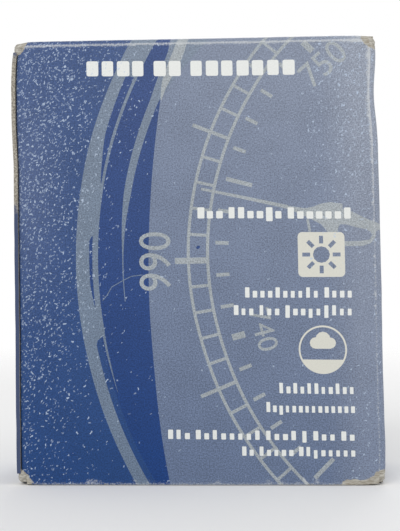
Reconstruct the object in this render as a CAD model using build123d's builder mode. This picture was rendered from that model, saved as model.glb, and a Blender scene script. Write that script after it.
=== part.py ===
from build123d import *

# A boxed pocket weather meter: a printed reverse-tuck folding carton, closed at both ends, that holds a
# board cradle, a folded leaflet and a round aneroid barometer.
#
# Frame, in millimetres: +Z up along the carton's height, +X along its width, +Y along its depth. The origin
# is the middle of the carton's base. The panel with the dial artwork faces -Y. The barometer's own face looks
# towards +Y, at the carton's front panel.

import os
from math import cos, pi, radians, sin

os.makedirs("parts", exist_ok=True)

# ---------------------------------------------------------------- carton: driving dimensions
WIDTH = 96.0
DEPTH = 40.0
HEIGHT = 117.0
BOARD = 1.0  # micro-corrugated board
CREASE_R = 1.6  # outside radius of a folded crease
FLAP_GAP = 0.15  # air between flaps that lie on each other
TUCK_GAP = 0.8  # air between a tuck flap and the wall it slides behind
TUCK_LENGTH = 12.0  # straight part of a tuck flap
TUCK_CORNER_R = 8.0
LID_SIDE_GAP = 0.4  # the lid is this much narrower than the carton on each side
TUCK_SIDE_GAP = 1.3  # and a tuck flap this much narrower than the space between the side panels
FOLD_SLOT = 6.0  # degrees of a moving flap's crease left open where it meets its panel
DUST_LENGTH = 30.0
DUST_HINGE_EDGE = 1.9  # the dust flap starts this far in from the lid's crease
DUST_HINGE_TAPER = 12.8  # and leans this far away from it by its tip
DUST_TUCK_EDGE = 3.4
DUST_TUCK_TAPER = 5.0
DUST_CORNER_R = 3.0
GLUE_FLAP_WIDTH = 12.0
GLUE_FLAP_TAPER = 5.0

# ---------------------------------------------------------------- cradle and leaflet
CRADLE_WIDTH = 91.6
CRADLE_BACK_Y = -16.0
CRADLE_FRONT_Y = 9.5
CRADLE_TOP_Z = 106.0
CRADLE_HOLE_R = 37.4
NOTCH_R = 9.0
LEAFLET_WIDTH = 70.0
LEAFLET_HEIGHT = 83.0
LEAFLET_LAYERS = 5
LEAFLET_SHEET = 0.3
LEAFLET_PITCH = 0.5
LEAFLET_BACK_Y = -18.7
LEAFLET_LIFT = 0.05  # air between the leaflet and the tuck flap it stands on

# ---------------------------------------------------------------- barometer, along its own axis (Y)
METER_Z = 54.0  # height of the barometer's axis above the carton's base
CASE_R = 37.0
CASE_WALL = 1.2
CASE_BACK_Y = -14.5
CASE_FRONT_Y = 11.5
BEZEL_R = 41.0
BEZEL_LIP_R = 34.0
BEZEL_FRONT_Y = 15.5
GLASS_R = 36.8
GLASS_BACK_Y = 12.1
GLASS_THICK = 1.8
DIAL_FRONT_Y = 9.0
DIAL_THICK = 0.8
DIAL_R = 35.7
DIAL_HOLE_R = 2.2
HAND_Y = 9.8
HAND_THICK = 0.4
HAND_LENGTH = 27.5
MARKER_Y = 10.9
MARKER_LENGTH = 25.0
MARKER_POST_R = 1.0
MARKER_BORE_R = 1.15
KNOB_BACK_Y = 14.1
KNOB_R = 3.6
KNOB_FRONT_Y = 18.0
KNOB_FLUTES = 24
BASE_PLATE_R = 29.0
BASE_PLATE_THICK = 1.0
BASE_SCREW_CIRCLE_R = 26.0
DIAL_POST_CIRCLE_R = 32.5
CAPSULE_BACK_Y = -11.6
CAPSULE_THICK = 4.2
CAPSULE_R = 16.5
CAPSULE_RIDGES = 4
CAPSULE_RIDGE_HEIGHT = 0.7
SPRING_Y = -6.0
SPRING_THICK = 0.8
SPRING_WIDTH = 11.0
SPRING_ANCHOR_X = 23.0
SPRING_TIP_X = -14.0
SPRING_FOOT = 5.0
SPRING_HOLE_R = 1.4
SCREW_R = 1.05
SCREW_HEAD = 1.2
COCK_Y = -3.4
COCK_THICK = 0.8
COCK_REACH = 8.0
COCK_WIDTH = 5.0
BRIDGE_Y = 3.0
BRIDGE_THICK = 1.2
PILLAR_X = 20.0
PILLAR_Z = 9.0
PILLAR_R = 1.6
ARBOR_R = 0.6
PIVOT_CLEARANCE = 0.05
ROCKER_X = 12.0
ROCKER_Y = -0.6
ROCKER_R = 1.0
ROCKER_LENGTH = 20.0
ROCKER_ARM_Z = 5.0
ROCKER_DRIVE_END_X = 4.4
HAIRSPRING_TURNS = 3
HAIRSPRING_R = 5.0
LUG_Z = 8.0
LUG_THICK = 1.6
ADJUSTER_DROP = 20.0  # the adjusting screw is this far below the axis, the air hole as far above
ADJUSTER_R = 2.2
AIR_HOLE_R = 1.0

# ---------------------------------------------------------------- worked out from the above
HALF_W, HALF_D = WIDTH / 2, DEPTH / 2
FLAT_X, FLAT_Y = HALF_W - CREASE_R, HALF_D - CREASE_R  # where the flats of the panels end
FLAP_DROP = BOARD + FLAP_GAP  # a dust flap's outer face lies this far inside the lid's
TUCK_FACE = HALF_D - BOARD - TUCK_GAP  # |y| of a tuck flap's outer face
SIDE_Z0, SIDE_Z1 = FLAP_DROP + CREASE_R, HEIGHT - FLAP_DROP - CREASE_R
CRADLE_BOTTOM_Z = FLAP_DROP + BOARD + FLAP_GAP
CASE_FLOOR_Y = CASE_BACK_Y + CASE_WALL
BASE_FRONT_Y = CASE_FLOOR_Y + BASE_PLATE_THICK
GLASS_FRONT_Y = GLASS_BACK_Y + GLASS_THICK

METER_AXIS = Axis((0, 0, METER_Z), (0, 1, 0))
# Local x runs along the barometer's axis and local y is the radius.
METER_PROFILE = Plane(origin=(0, 0, METER_Z), x_dir=(0, 1, 0), z_dir=(1, 0, 0))


def meter_face(y):
    """The plane square to the barometer's axis at y, as seen by someone who reads its dial."""
    return Plane(origin=(0, y, METER_Z), x_dir=(-1, 0, 0), z_dir=(0, 1, 0))


def save(piece, label):
    """Labels a finished piece and writes its STEP file."""
    piece.label = label
    export_step(piece, f"parts/{label}.step")


def slab(low, high):
    """A flat stretch of board between two opposite corners."""
    with BuildPart() as board:
        with BuildSketch(Plane.XY.offset(low[2])):
            with Locations(((low[0] + high[0]) / 2, (low[1] + high[1]) / 2)):
                Rectangle(high[0] - low[0], high[1] - low[1])
        extrude(amount=high[2] - low[2])
    return board.part


def crease(plane, first_angle, length, slot=0.0):
    """A quarter-round strip of folded board, less a slot in degrees at the end of its arc.

    The plane is square to the strip at mid-length, with its origin at the arc's centre.
    """
    with BuildPart() as strip:
        with BuildSketch(plane):
            with BuildLine():
                outside = CenterArc((0, 0), CREASE_R, first_angle, 90 - slot)
                inside = CenterArc((0, 0), CREASE_R - BOARD, first_angle, 90 - slot)
                Line(outside @ 0, inside @ 0)
                Line(outside @ 1, inside @ 1)
            make_face()
        extrude(amount=length / 2, both=True)
    return strip.part


def corner_crease(x, y, first_angle):
    """An upright crease, centred on x and y, over the height of the side panels."""
    middle_z = (SIDE_Z0 + SIDE_Z1) / 2
    return crease(Plane.XY.offset(middle_z).move(Location((x, y, 0))), first_angle, SIDE_Z1 - SIDE_Z0)


# ================================================================ carton tube
with BuildPart() as back_panel:
    add(slab((BOARD - FLAT_X, -HALF_D, 0), (FLAT_X, BOARD - HALF_D, HEIGHT - CREASE_R)))
    add(corner_crease(FLAT_X, -FLAT_Y, first_angle=270))
save(back_panel.part, "back_panel")

with BuildPart() as front_panel:
    add(slab((-FLAT_X, HALF_D - BOARD, CREASE_R), (FLAT_X, HALF_D, HEIGHT)))
    add(corner_crease(FLAT_X, FLAT_Y, first_angle=0))
    add(corner_crease(-FLAT_X, FLAT_Y, first_angle=90))
save(front_panel.part, "front_panel")

right_side = slab((HALF_W - BOARD, -FLAT_Y, SIDE_Z0), (HALF_W, FLAT_Y, SIDE_Z1))
save(right_side, "right_side_panel")
# The left side panel's cut edge runs on towards the back face, over the glue flap.
left_side = slab((-HALF_W, FLAP_GAP - HALF_D, SIDE_Z0), (BOARD - HALF_W, FLAT_Y, SIDE_Z1))
save(left_side, "left_side_panel")

# The glue flap continues the back panel round the seam and lies inside the left side panel.
with BuildPart() as glue_flap:
    with BuildSketch(Plane(origin=(BOARD - HALF_W, 0, 0), x_dir=(0, 1, 0), z_dir=(1, 0, 0))):
        with BuildLine():
            Polyline(
                (-FLAT_Y, SIDE_Z0),
                (GLUE_FLAP_WIDTH - FLAT_Y, SIDE_Z0 + GLUE_FLAP_TAPER),
                (GLUE_FLAP_WIDTH - FLAT_Y, SIDE_Z1 - GLUE_FLAP_TAPER),
                (-FLAT_Y, SIDE_Z1),
                close=True,
            )
        make_face()
    extrude(amount=BOARD)
    add(corner_crease(BOARD - FLAT_X, -FLAT_Y, first_angle=180))
save(glue_flap.part, "glue_flap")


# ================================================================ end closures
def cross_crease(y, z, first_angle, length):
    """A moving flap's crease that runs along X, its angle counted from +Y towards +Z."""
    plane = Plane(origin=(0, y, z), x_dir=(0, 1, 0), z_dir=(1, 0, 0))
    return crease(plane, first_angle, length, slot=FOLD_SLOT)


def dust_flap(side, hinge_side, outer_z, inward):
    """A tapered flap folded in from a side panel: side is the sign of X."""
    hinge_edge = HALF_D - BOARD - DUST_HINGE_EDGE
    tuck_edge = HALF_D - BOARD - DUST_TUCK_EDGE
    root_x, tip_x = side * FLAT_X, side * (FLAT_X - DUST_LENGTH)
    outline = [
        (root_x, hinge_side * hinge_edge),
        (tip_x, hinge_side * (hinge_edge - DUST_HINGE_TAPER)),
        (tip_x, -hinge_side * (tuck_edge - DUST_TUCK_TAPER)),
        (root_x, -hinge_side * tuck_edge),
    ]
    face_z = outer_z + inward * FLAP_DROP
    arc_plane = Plane(
        origin=(root_x, hinge_side * (hinge_edge - tuck_edge) / 2, face_z + inward * CREASE_R),
        x_dir=(0, 0, -inward),
        z_dir=(0, -side * inward, 0),
    )
    fold = crease(arc_plane, first_angle=0, length=hinge_edge + tuck_edge, slot=FOLD_SLOT)
    with BuildPart() as flap:
        with BuildSketch(Plane(origin=(0, 0, face_z), x_dir=(1, 0, 0), z_dir=(0, 0, inward))) as shape:
            with BuildLine():
                Polyline(*[(x, inward * y) for x, y in outline], close=True)
            make_face()
            tips = shape.vertices().sort_by(Axis.X, reverse=side > 0)[-2:]
            fillet(tips, DUST_CORNER_R)
        extrude(amount=BOARD)
        add(fold)
    return flap.part


def closure(end, hinge_side, outer_z, inward):
    """Lid, tuck flap and two dust flaps at one end of the tube.

    hinge_side is the sign of Y at the lid's hinge, outer_z the height of the lid's printed face, and
    inward is +1 or -1, the sign of Z from that face into the carton.
    """
    lid_x = HALF_W - LID_SIDE_GAP
    tuck_x = HALF_W - BOARD - TUCK_SIDE_GAP
    hinge_y, nose_y = hinge_side * FLAT_Y, -hinge_side * (TUCK_FACE - CREASE_R)
    arc_z = outer_z + inward * CREASE_R
    # The quarter of each crease that faces out of the carton.
    outward_angle = {(-1, -1): 90, (1, -1): 0, (-1, 1): 180, (1, 1): 270}

    low_y, high_y = sorted((hinge_y, nose_y))
    low_z, high_z = sorted((outer_z, outer_z + inward * BOARD))
    with BuildPart() as lid:
        add(slab((-lid_x, low_y, low_z), (lid_x, high_y, high_z)))
        add(cross_crease(hinge_y, arc_z, outward_angle[hinge_side, inward], 2 * FLAT_X))
    save(lid.part, f"{end}_lid")

    tuck_plane = Plane(origin=(0, -hinge_side * TUCK_FACE, arc_z), x_dir=(1, 0, 0), z_dir=(0, hinge_side, 0))
    reach = inward * tuck_plane.y_dir.Z * TUCK_LENGTH
    with BuildPart() as tuck:
        with BuildSketch(tuck_plane) as face:
            with Locations((0, reach / 2)):
                Rectangle(2 * tuck_x, TUCK_LENGTH)
            fillet(face.vertices().sort_by(Axis.Y, reverse=reach < 0)[-2:], TUCK_CORNER_R)
        extrude(amount=BOARD)
        add(cross_crease(nose_y, arc_z, outward_angle[-hinge_side, inward], 2 * tuck_x))
    save(tuck.part, f"{end}_tuck_flap")

    for name, side in (("left", -1), ("right", 1)):
        save(dust_flap(side, hinge_side, outer_z, inward), f"{end}_dust_flap_{name}")


closure("top", hinge_side=-1, outer_z=HEIGHT, inward=-1)
closure("bottom", hinge_side=1, outer_z=0, inward=1)

# ================================================================ cradle and leaflet
# The cradle is a board sleeve. Its deck has a round hole for the barometer's case and a thumb notch.
cradle_x = CRADLE_WIDTH / 2
with BuildPart() as cradle_deck:
    with BuildSketch(Plane(origin=(0, CRADLE_FRONT_Y, 0), x_dir=(-1, 0, 0), z_dir=(0, 1, 0))):
        with Locations((0, (CRADLE_BOTTOM_Z + CRADLE_TOP_Z) / 2)):
            Rectangle(CRADLE_WIDTH, CRADLE_TOP_Z - CRADLE_BOTTOM_Z)
        with Locations((0, METER_Z)):
            Circle(CRADLE_HOLE_R, mode=Mode.SUBTRACT)
        with Locations((0, CRADLE_TOP_Z)):
            Circle(NOTCH_R, mode=Mode.SUBTRACT)
    extrude(amount=-BOARD)
save(cradle_deck.part, "cradle_deck")

wall_y0, wall_y1 = CRADLE_BACK_Y + BOARD, CRADLE_FRONT_Y - BOARD
save(
    slab((-cradle_x, CRADLE_BACK_Y, CRADLE_BOTTOM_Z), (cradle_x, wall_y0, CRADLE_TOP_Z)),
    "cradle_back_wall",
)
save(
    slab((-cradle_x, wall_y0, CRADLE_BOTTOM_Z), (BOARD - cradle_x, wall_y1, CRADLE_TOP_Z)),
    "cradle_left_wall",
)
save(
    slab((cradle_x - BOARD, wall_y0, CRADLE_BOTTOM_Z), (cradle_x, wall_y1, CRADLE_TOP_Z)),
    "cradle_right_wall",
)

# A concertina of paper that stands on the bottom tuck flap, between the cradle and the back panel.
leaflet_z0 = CREASE_R + TUCK_LENGTH + LEAFLET_LIFT
with BuildPart() as leaflet:
    with BuildSketch(Plane.XY.offset(leaflet_z0)):
        layer_middle = LEAFLET_BACK_Y + LEAFLET_SHEET / 2
        with Locations([(0, layer_middle + layer * LEAFLET_PITCH) for layer in range(LEAFLET_LAYERS)]):
            Rectangle(LEAFLET_WIDTH, LEAFLET_SHEET)
        for layer in range(LEAFLET_LAYERS - 1):
            turn = 1 if layer % 2 == 0 else -1
            fold_middle = (turn * LEAFLET_WIDTH / 2, layer_middle + (layer + 0.5) * LEAFLET_PITCH)
            with BuildLine():
                outside = CenterArc(fold_middle, (LEAFLET_PITCH + LEAFLET_SHEET) / 2, -90 * turn, 180)
                inside = CenterArc(fold_middle, (LEAFLET_PITCH - LEAFLET_SHEET) / 2, -90 * turn, 180)
                Line(outside @ 0, inside @ 0)
                Line(outside @ 1, inside @ 1)
            make_face()
    extrude(amount=LEAFLET_HEIGHT)
save(leaflet.part, "leaflet")


# ================================================================ barometer: case
def turned(label, *outline):
    """Makes and saves a piece turned about the barometer's axis. The outline is (y, radius) points."""
    with BuildPart() as piece:
        with BuildSketch(METER_PROFILE):
            with BuildLine():
                Polyline(*outline, close=True)
            make_face()
        revolve(axis=METER_AXIS)
    save(piece.part, label)


with BuildPart() as case_cup:
    with BuildSketch(METER_PROFILE) as wall:
        with BuildLine():
            Polyline(
                (CASE_BACK_Y, 0),
                (CASE_BACK_Y, CASE_R),
                (CASE_FRONT_Y, CASE_R),
                (CASE_FRONT_Y, CASE_R - CASE_WALL),
                (CASE_FLOOR_Y, CASE_R - CASE_WALL),
                (CASE_FLOOR_Y, 0),
                close=True,
            )
        make_face()
        rear_rim = wall.vertices().group_by(Axis.X)[0].sort_by(Axis.Y)[-1]
        fillet(rear_rim, CASE_WALL)
    revolve(axis=METER_AXIS)
    with BuildSketch(meter_face(CASE_BACK_Y)):
        with Locations((0, -ADJUSTER_DROP)):
            Circle(ADJUSTER_R + PIVOT_CLEARANCE)
        with Locations((0, ADJUSTER_DROP)):
            Circle(AIR_HOLE_R)
    extrude(amount=CASE_WALL, mode=Mode.SUBTRACT)
save(case_cup.part, "case_cup")

bezel_bore = CASE_R + PIVOT_CLEARANCE
bezel_back_y = CRADLE_FRONT_Y + FLAP_GAP
turned(
    "bezel",
    (bezel_back_y, bezel_bore),
    (bezel_back_y, BEZEL_R),
    (11.0, BEZEL_R),
    (11.4, BEZEL_R - 0.8),
    (13.2, BEZEL_R - 1.3),
    (13.6, BEZEL_R - 2.4),
    (14.9, BEZEL_R - 3.2),
    (BEZEL_FRONT_Y, BEZEL_R - 4.6),
    (BEZEL_FRONT_Y, BEZEL_LIP_R + 0.9),
    (GLASS_FRONT_Y + 0.6, BEZEL_LIP_R),
    (GLASS_FRONT_Y, BEZEL_LIP_R),
    (GLASS_FRONT_Y, bezel_bore),
)
turned(
    "glass_gasket",
    (CASE_FRONT_Y, CASE_R - CASE_WALL),
    (CASE_FRONT_Y, GLASS_R),
    (GLASS_BACK_Y, GLASS_R),
    (GLASS_BACK_Y, CASE_R - CASE_WALL),
)
turned(
    "cover_glass",
    (GLASS_BACK_Y, MARKER_BORE_R),
    (GLASS_BACK_Y, GLASS_R),
    (GLASS_FRONT_Y, GLASS_R),
    (GLASS_FRONT_Y, MARKER_BORE_R),
)
turned(
    "reflector_ring",
    (DIAL_FRONT_Y, DIAL_R),
    (CASE_FRONT_Y, DIAL_R),
    (CASE_FRONT_Y, DIAL_R - 0.5),
    (DIAL_FRONT_Y, DIAL_R - 1.9),
)
turned(
    "dial_plate",
    (DIAL_FRONT_Y - DIAL_THICK, DIAL_HOLE_R),
    (DIAL_FRONT_Y - DIAL_THICK, DIAL_R),
    (DIAL_FRONT_Y, DIAL_R),
    (DIAL_FRONT_Y, DIAL_HOLE_R),
)

# ================================================================ barometer: hands
with BuildPart() as pressure_hand:
    with BuildSketch(meter_face(HAND_Y)):
        with BuildLine():
            Polyline(
                (-0.9, 0),
                (-0.3, HAND_LENGTH - 2),
                (0, HAND_LENGTH),
                (0.3, HAND_LENGTH - 2),
                (0.9, 0),
                close=True,
            )
        make_face()
        with Locations((0, -5.5)):
            Rectangle(1.0, 9)
        with Locations((0, -12)):
            Circle(3.2)
            Circle(2.0, mode=Mode.SUBTRACT)
        with Locations((0, 15)):
            Circle(1.9)
            Circle(1.0, mode=Mode.SUBTRACT)
        Circle(2.4)
        Circle(ARBOR_R, mode=Mode.SUBTRACT)
    extrude(amount=HAND_THICK)
save(pressure_hand.part, "pressure_hand")

arbor_y0, arbor_y1 = COCK_Y + 0.2, HAND_Y + HAND_THICK + 0.2
turned(
    "hand_arbor",
    (arbor_y0, 0),
    (arbor_y0, ARBOR_R),
    (-1.6, ARBOR_R),
    (-1.6, 2.6),
    (-1.2, 2.6),
    (-1.2, 2.0),
    (0.4, 2.0),
    (0.4, 2.6),
    (0.8, 2.6),
    (0.8, ARBOR_R),
    (arbor_y1, ARBOR_R),
    (arbor_y1, 0),
)

with BuildPart() as marker_hand:
    with BuildSketch(meter_face(MARKER_Y)):
        with BuildLine():
            Polyline((-0.5, 0), (-0.25, MARKER_LENGTH), (0.25, MARKER_LENGTH), (0.5, 0), close=True)
        make_face()
        with Locations((0, -5)):
            Rectangle(0.8, 10)
        Circle(1.8)
        Circle(MARKER_POST_R, mode=Mode.SUBTRACT)
    extrude(amount=HAND_THICK)
save(marker_hand.part, "marker_hand")

turned(
    "marker_post",
    (MARKER_Y, 0),
    (MARKER_Y, MARKER_POST_R),
    (KNOB_BACK_Y, MARKER_POST_R),
    (KNOB_BACK_Y, 0),
)

with BuildPart() as marker_knob:
    with BuildSketch(meter_face(KNOB_BACK_Y)):
        Circle(KNOB_R)
        with PolarLocations(KNOB_R, KNOB_FLUTES):
            Circle(0.25, mode=Mode.SUBTRACT)
    extrude(amount=KNOB_FRONT_Y - KNOB_BACK_Y)
    chamfer(marker_knob.faces().sort_by(Axis.Y)[-1].edges(), 0.2)
save(marker_knob.part, "marker_knob")


# ================================================================ barometer: movement
def on_circle(radius, angles):
    """Places on the barometer's face at one radius."""
    return [(radius * cos(radians(angle)), radius * sin(radians(angle))) for angle in angles]


def posts(places, radius, y0, y1):
    """Round posts along the barometer's axis, one for each place on its face."""
    with BuildPart() as group:
        with BuildSketch(meter_face(y0)):
            with Locations(*places):
                Circle(radius)
        extrude(amount=y1 - y0)
    return group.part


screw_places = on_circle(BASE_SCREW_CIRCLE_R, (90, 210, 330))
with BuildPart() as base_plate:
    with BuildSketch(meter_face(CASE_FLOOR_Y)):
        Circle(BASE_PLATE_R)
        with Locations((0, -ADJUSTER_DROP)):
            Circle(ADJUSTER_R + 0.2, mode=Mode.SUBTRACT)
        with Locations(*screw_places):
            Circle(SCREW_R, mode=Mode.SUBTRACT)
    extrude(amount=BASE_PLATE_THICK)
save(base_plate.part, "base_plate")

with BuildPart() as base_screws:
    add(posts(screw_places, SCREW_R, CASE_FLOOR_Y, BASE_FRONT_Y))
    add(posts(screw_places, 2 * SCREW_R, BASE_FRONT_Y, BASE_FRONT_Y + SCREW_HEAD))
    with BuildSketch(meter_face(BASE_FRONT_Y + SCREW_HEAD)):
        with Locations(*screw_places):
            Rectangle(4 * SCREW_R + 1, 0.5)
    extrude(amount=-SCREW_HEAD / 2, mode=Mode.SUBTRACT)
save(base_screws.part, "base_screws")

# The capsule is two corrugated discs joined at their rims.
capsule_front_y = CAPSULE_BACK_Y + CAPSULE_THICK
capsule_middle_y = CAPSULE_BACK_Y + CAPSULE_THICK / 2
ridge_step = (CAPSULE_R - 4) / (2 * CAPSULE_RIDGES)
wave_radii = [CAPSULE_R - 1 - i * ridge_step for i in range(2 * CAPSULE_RIDGES)]
wave_depths = [CAPSULE_RIDGE_HEIGHT * (1 - i % 2) for i in range(2 * CAPSULE_RIDGES)]
front_wave = [(capsule_front_y - depth, radius) for depth, radius in zip(wave_depths, wave_radii)]
back_wave = [(CAPSULE_BACK_Y + depth, radius) for depth, radius in zip(wave_depths, wave_radii)]
turned(
    "aneroid_capsule",
    (CAPSULE_BACK_Y, 0),
    *reversed(back_wave),
    (capsule_middle_y - 0.3, CAPSULE_R),
    (capsule_middle_y + 0.3, CAPSULE_R),
    *front_wave,
    (capsule_front_y, 0),
)
save(posts([(0, 0)], 3.0, BASE_FRONT_Y, CAPSULE_BACK_Y), "capsule_foot")

spring_front_y = SPRING_Y + SPRING_THICK
with BuildPart() as capsule_stud:
    add(posts([(0, 0)], 2.6, capsule_front_y, SPRING_Y))
    add(posts([(0, 0)], SPRING_HOLE_R, SPRING_Y, spring_front_y + 0.6))
save(capsule_stud.part, "capsule_stud")

# A flat spring bent like a Z: it stands on the base plate and pulls on the capsule's stud.
with BuildPart() as main_spring:
    with BuildSketch(Plane(origin=(0, 0, METER_Z), z_dir=(0, 0, 1))):
        with BuildLine():
            Polyline(
                (SPRING_ANCHOR_X + SPRING_FOOT, BASE_FRONT_Y),
                (SPRING_ANCHOR_X, BASE_FRONT_Y),
                (SPRING_ANCHOR_X, SPRING_Y),
                (SPRING_TIP_X, SPRING_Y),
                (SPRING_TIP_X, spring_front_y),
                (SPRING_ANCHOR_X + SPRING_THICK, spring_front_y),
                (SPRING_ANCHOR_X + SPRING_THICK, BASE_FRONT_Y + SPRING_THICK),
                (SPRING_ANCHOR_X + SPRING_FOOT, BASE_FRONT_Y + SPRING_THICK),
                close=True,
            )
        make_face()
    extrude(amount=SPRING_WIDTH / 2, both=True)
    with BuildSketch(meter_face(SPRING_Y)):
        Circle(SPRING_HOLE_R)
    extrude(amount=SPRING_THICK, mode=Mode.SUBTRACT)
save(main_spring.part, "main_spring")

save(posts([(PILLAR_X, PILLAR_Z), (PILLAR_X, -PILLAR_Z)], PILLAR_R, BASE_FRONT_Y, BRIDGE_Y), "bridge_pillars")
with BuildPart() as bridge_plate:
    with BuildSketch(meter_face(BRIDGE_Y)):
        with BuildLine():
            bridge_x, bridge_z = PILLAR_X + 2 * PILLAR_R, PILLAR_Z + 2 * PILLAR_R
            Polyline(
                (-5, 5), (5, 8), (bridge_x, bridge_z), (bridge_x, -bridge_z), (5, -8), (-5, -5), close=True
            )
        make_face()
        Circle(ARBOR_R + PIVOT_CLEARANCE, mode=Mode.SUBTRACT)
    extrude(amount=BRIDGE_THICK)
save(bridge_plate.part, "bridge_plate")

# The cock hangs from the bridge plate and carries the arbor's rear pivot.
with BuildPart() as pivot_cock:
    with BuildSketch(meter_face(COCK_Y)):
        with Locations((COCK_REACH / 2 - 1, 0)):
            Rectangle(COCK_REACH + 4, COCK_WIDTH)
        Circle(ARBOR_R + PIVOT_CLEARANCE, mode=Mode.SUBTRACT)
    extrude(amount=COCK_THICK)
    add(posts([(COCK_REACH, 0)], 1.2, COCK_Y + COCK_THICK, BRIDGE_Y))
save(pivot_cock.part, "pivot_cock")

# The hairspring is a flat spiral round the arbor.
with BuildPart() as hairspring:
    with BuildSketch(meter_face(BRIDGE_Y + BRIDGE_THICK + 0.6)):
        with BuildLine() as coil:
            steps = 12 * HAIRSPRING_TURNS
            growth = (HAIRSPRING_R - 2 * ARBOR_R) / steps
            coil_points = []
            for step in range(steps + 1):
                radius = 2 * ARBOR_R + growth * step
                turn_angle = 2 * pi * step / 12
                coil_points.append((radius * cos(turn_angle), radius * sin(turn_angle)))
            Spline(*coil_points)
        trace(coil.line, line_width=0.2)
    extrude(amount=0.5)
save(hairspring.part, "hairspring")

# The rocker lies along Z beside the arbor. One arm feels the spring, the other drives the arbor.
with BuildPart() as rocker:
    with BuildSketch(Plane(origin=(-ROCKER_X, ROCKER_Y, METER_Z - ROCKER_LENGTH / 2), z_dir=(0, 0, 1))):
        Circle(ROCKER_R)
    extrude(amount=ROCKER_LENGTH)
    drive_reach = ROCKER_X - ROCKER_DRIVE_END_X
    with Locations((-ROCKER_X + drive_reach / 2, ROCKER_Y, METER_Z + ROCKER_ARM_Z)):
        Box(drive_reach, 0.8, 1.6)
    feeler_reach = ROCKER_Y - (spring_front_y + 0.3)
    with Locations((-ROCKER_X, ROCKER_Y - feeler_reach / 2, METER_Z - ROCKER_ARM_Z / 2)):
        Box(0.8, feeler_reach, 1.6)
save(rocker.part, "rocker")

with BuildPart() as rocker_lugs:
    for lug_z in (-LUG_Z, LUG_Z):
        with BuildSketch(Plane(origin=(-ROCKER_X, ROCKER_Y, METER_Z + lug_z), z_dir=(0, 0, 1))):
            with Locations((0, (BRIDGE_Y - ROCKER_Y) / 2)):
                Rectangle(4, BRIDGE_Y - ROCKER_Y)
            Circle(2 * ROCKER_R)
            Circle(ROCKER_R + PIVOT_CLEARANCE, mode=Mode.SUBTRACT)
        extrude(amount=LUG_THICK / 2, both=True)
save(rocker_lugs.part, "rocker_lugs")

post_places = on_circle(DIAL_POST_CIRCLE_R, (30, 150, 270))
save(posts(post_places, 1.4, CASE_FLOOR_Y, DIAL_FRONT_Y - DIAL_THICK), "dial_posts")

with BuildPart() as adjusting_screw:
    add(posts([(0, -ADJUSTER_DROP)], ADJUSTER_R, CASE_BACK_Y + 0.2, BASE_FRONT_Y + 0.8))
    with BuildSketch(meter_face(CASE_BACK_Y + 0.2)):
        with Locations((0, -ADJUSTER_DROP)):
            Rectangle(2 * ADJUSTER_R + 1, 0.6)
    extrude(amount=0.7, mode=Mode.SUBTRACT)
save(adjusting_screw.part, "adjusting_screw")

# ================================================================ where the folds turn
# A lid or dust flap folds out about a point just inside its crease's printed face: unfolding keeps the
# length of that face. A tuck flap folds further in, so it turns about its crease's inner face.
fold_out = pi / 4 * CREASE_R
fold_in = CREASE_R - BOARD - 0.1
print("lids turn", round(fold_out, 3), "mm outwards from their crease's centre")
print("tuck flaps turn", round(fold_in, 3), "mm outwards from their crease's centre")
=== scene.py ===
# %% [markdown]
# # A worn carton for a pocket weather meter
# The object is a printed folding carton, closed at both ends, with a barometer in a board cradle inside.
# The frame holds its real sizes and its folds. This script gives it its looks: board with a thickness,
# creases that bend, a printed dial that runs round three sides, and the wear of years on a shelf.

import math
import random

import bpy
import numpy as np
from mathutils import Matrix, Vector, geometry, noise


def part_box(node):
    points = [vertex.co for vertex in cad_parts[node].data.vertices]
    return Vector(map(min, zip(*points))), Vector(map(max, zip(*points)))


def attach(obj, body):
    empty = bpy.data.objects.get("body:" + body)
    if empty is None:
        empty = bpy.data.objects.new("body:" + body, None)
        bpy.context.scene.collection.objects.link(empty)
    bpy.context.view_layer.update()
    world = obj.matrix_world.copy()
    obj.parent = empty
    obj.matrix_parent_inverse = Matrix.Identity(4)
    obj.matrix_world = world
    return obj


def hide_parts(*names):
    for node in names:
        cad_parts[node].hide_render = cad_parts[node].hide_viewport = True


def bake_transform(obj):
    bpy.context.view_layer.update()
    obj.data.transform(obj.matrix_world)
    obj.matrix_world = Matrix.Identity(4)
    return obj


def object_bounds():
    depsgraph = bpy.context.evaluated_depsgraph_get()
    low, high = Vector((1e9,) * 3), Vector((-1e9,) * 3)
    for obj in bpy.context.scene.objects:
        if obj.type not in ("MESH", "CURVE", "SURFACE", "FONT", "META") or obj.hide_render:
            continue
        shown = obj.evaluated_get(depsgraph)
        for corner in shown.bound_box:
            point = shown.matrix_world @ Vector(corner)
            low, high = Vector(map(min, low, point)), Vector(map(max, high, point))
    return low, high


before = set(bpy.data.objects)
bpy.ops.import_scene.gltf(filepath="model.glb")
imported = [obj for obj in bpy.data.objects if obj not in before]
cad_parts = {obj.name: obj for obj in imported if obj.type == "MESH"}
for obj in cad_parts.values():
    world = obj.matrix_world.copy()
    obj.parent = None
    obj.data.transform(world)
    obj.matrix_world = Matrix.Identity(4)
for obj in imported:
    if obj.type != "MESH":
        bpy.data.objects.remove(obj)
CAD_LOW, CAD_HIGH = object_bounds()
MM = 0.001
print("carton", [round((b - a) / MM, 1) for a, b in zip(CAD_LOW, CAD_HIGH)], "mm")

# %% [markdown]
# ## Sizes
# The carton's outside comes from the frame. The board's thickness is the thickness of a side panel, and the
# crease radius is how far the back panel stops short of the top. All print sizes below are millimetres on
# the flat blank, because a printer draws the artwork before the carton is folded.


# %% Sizes in millimetres
def node_box(name):
    """A node's lowest and highest corner in millimetres."""
    low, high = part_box(name)
    return [c / MM for c in low], [c / MM for c in high]


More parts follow.
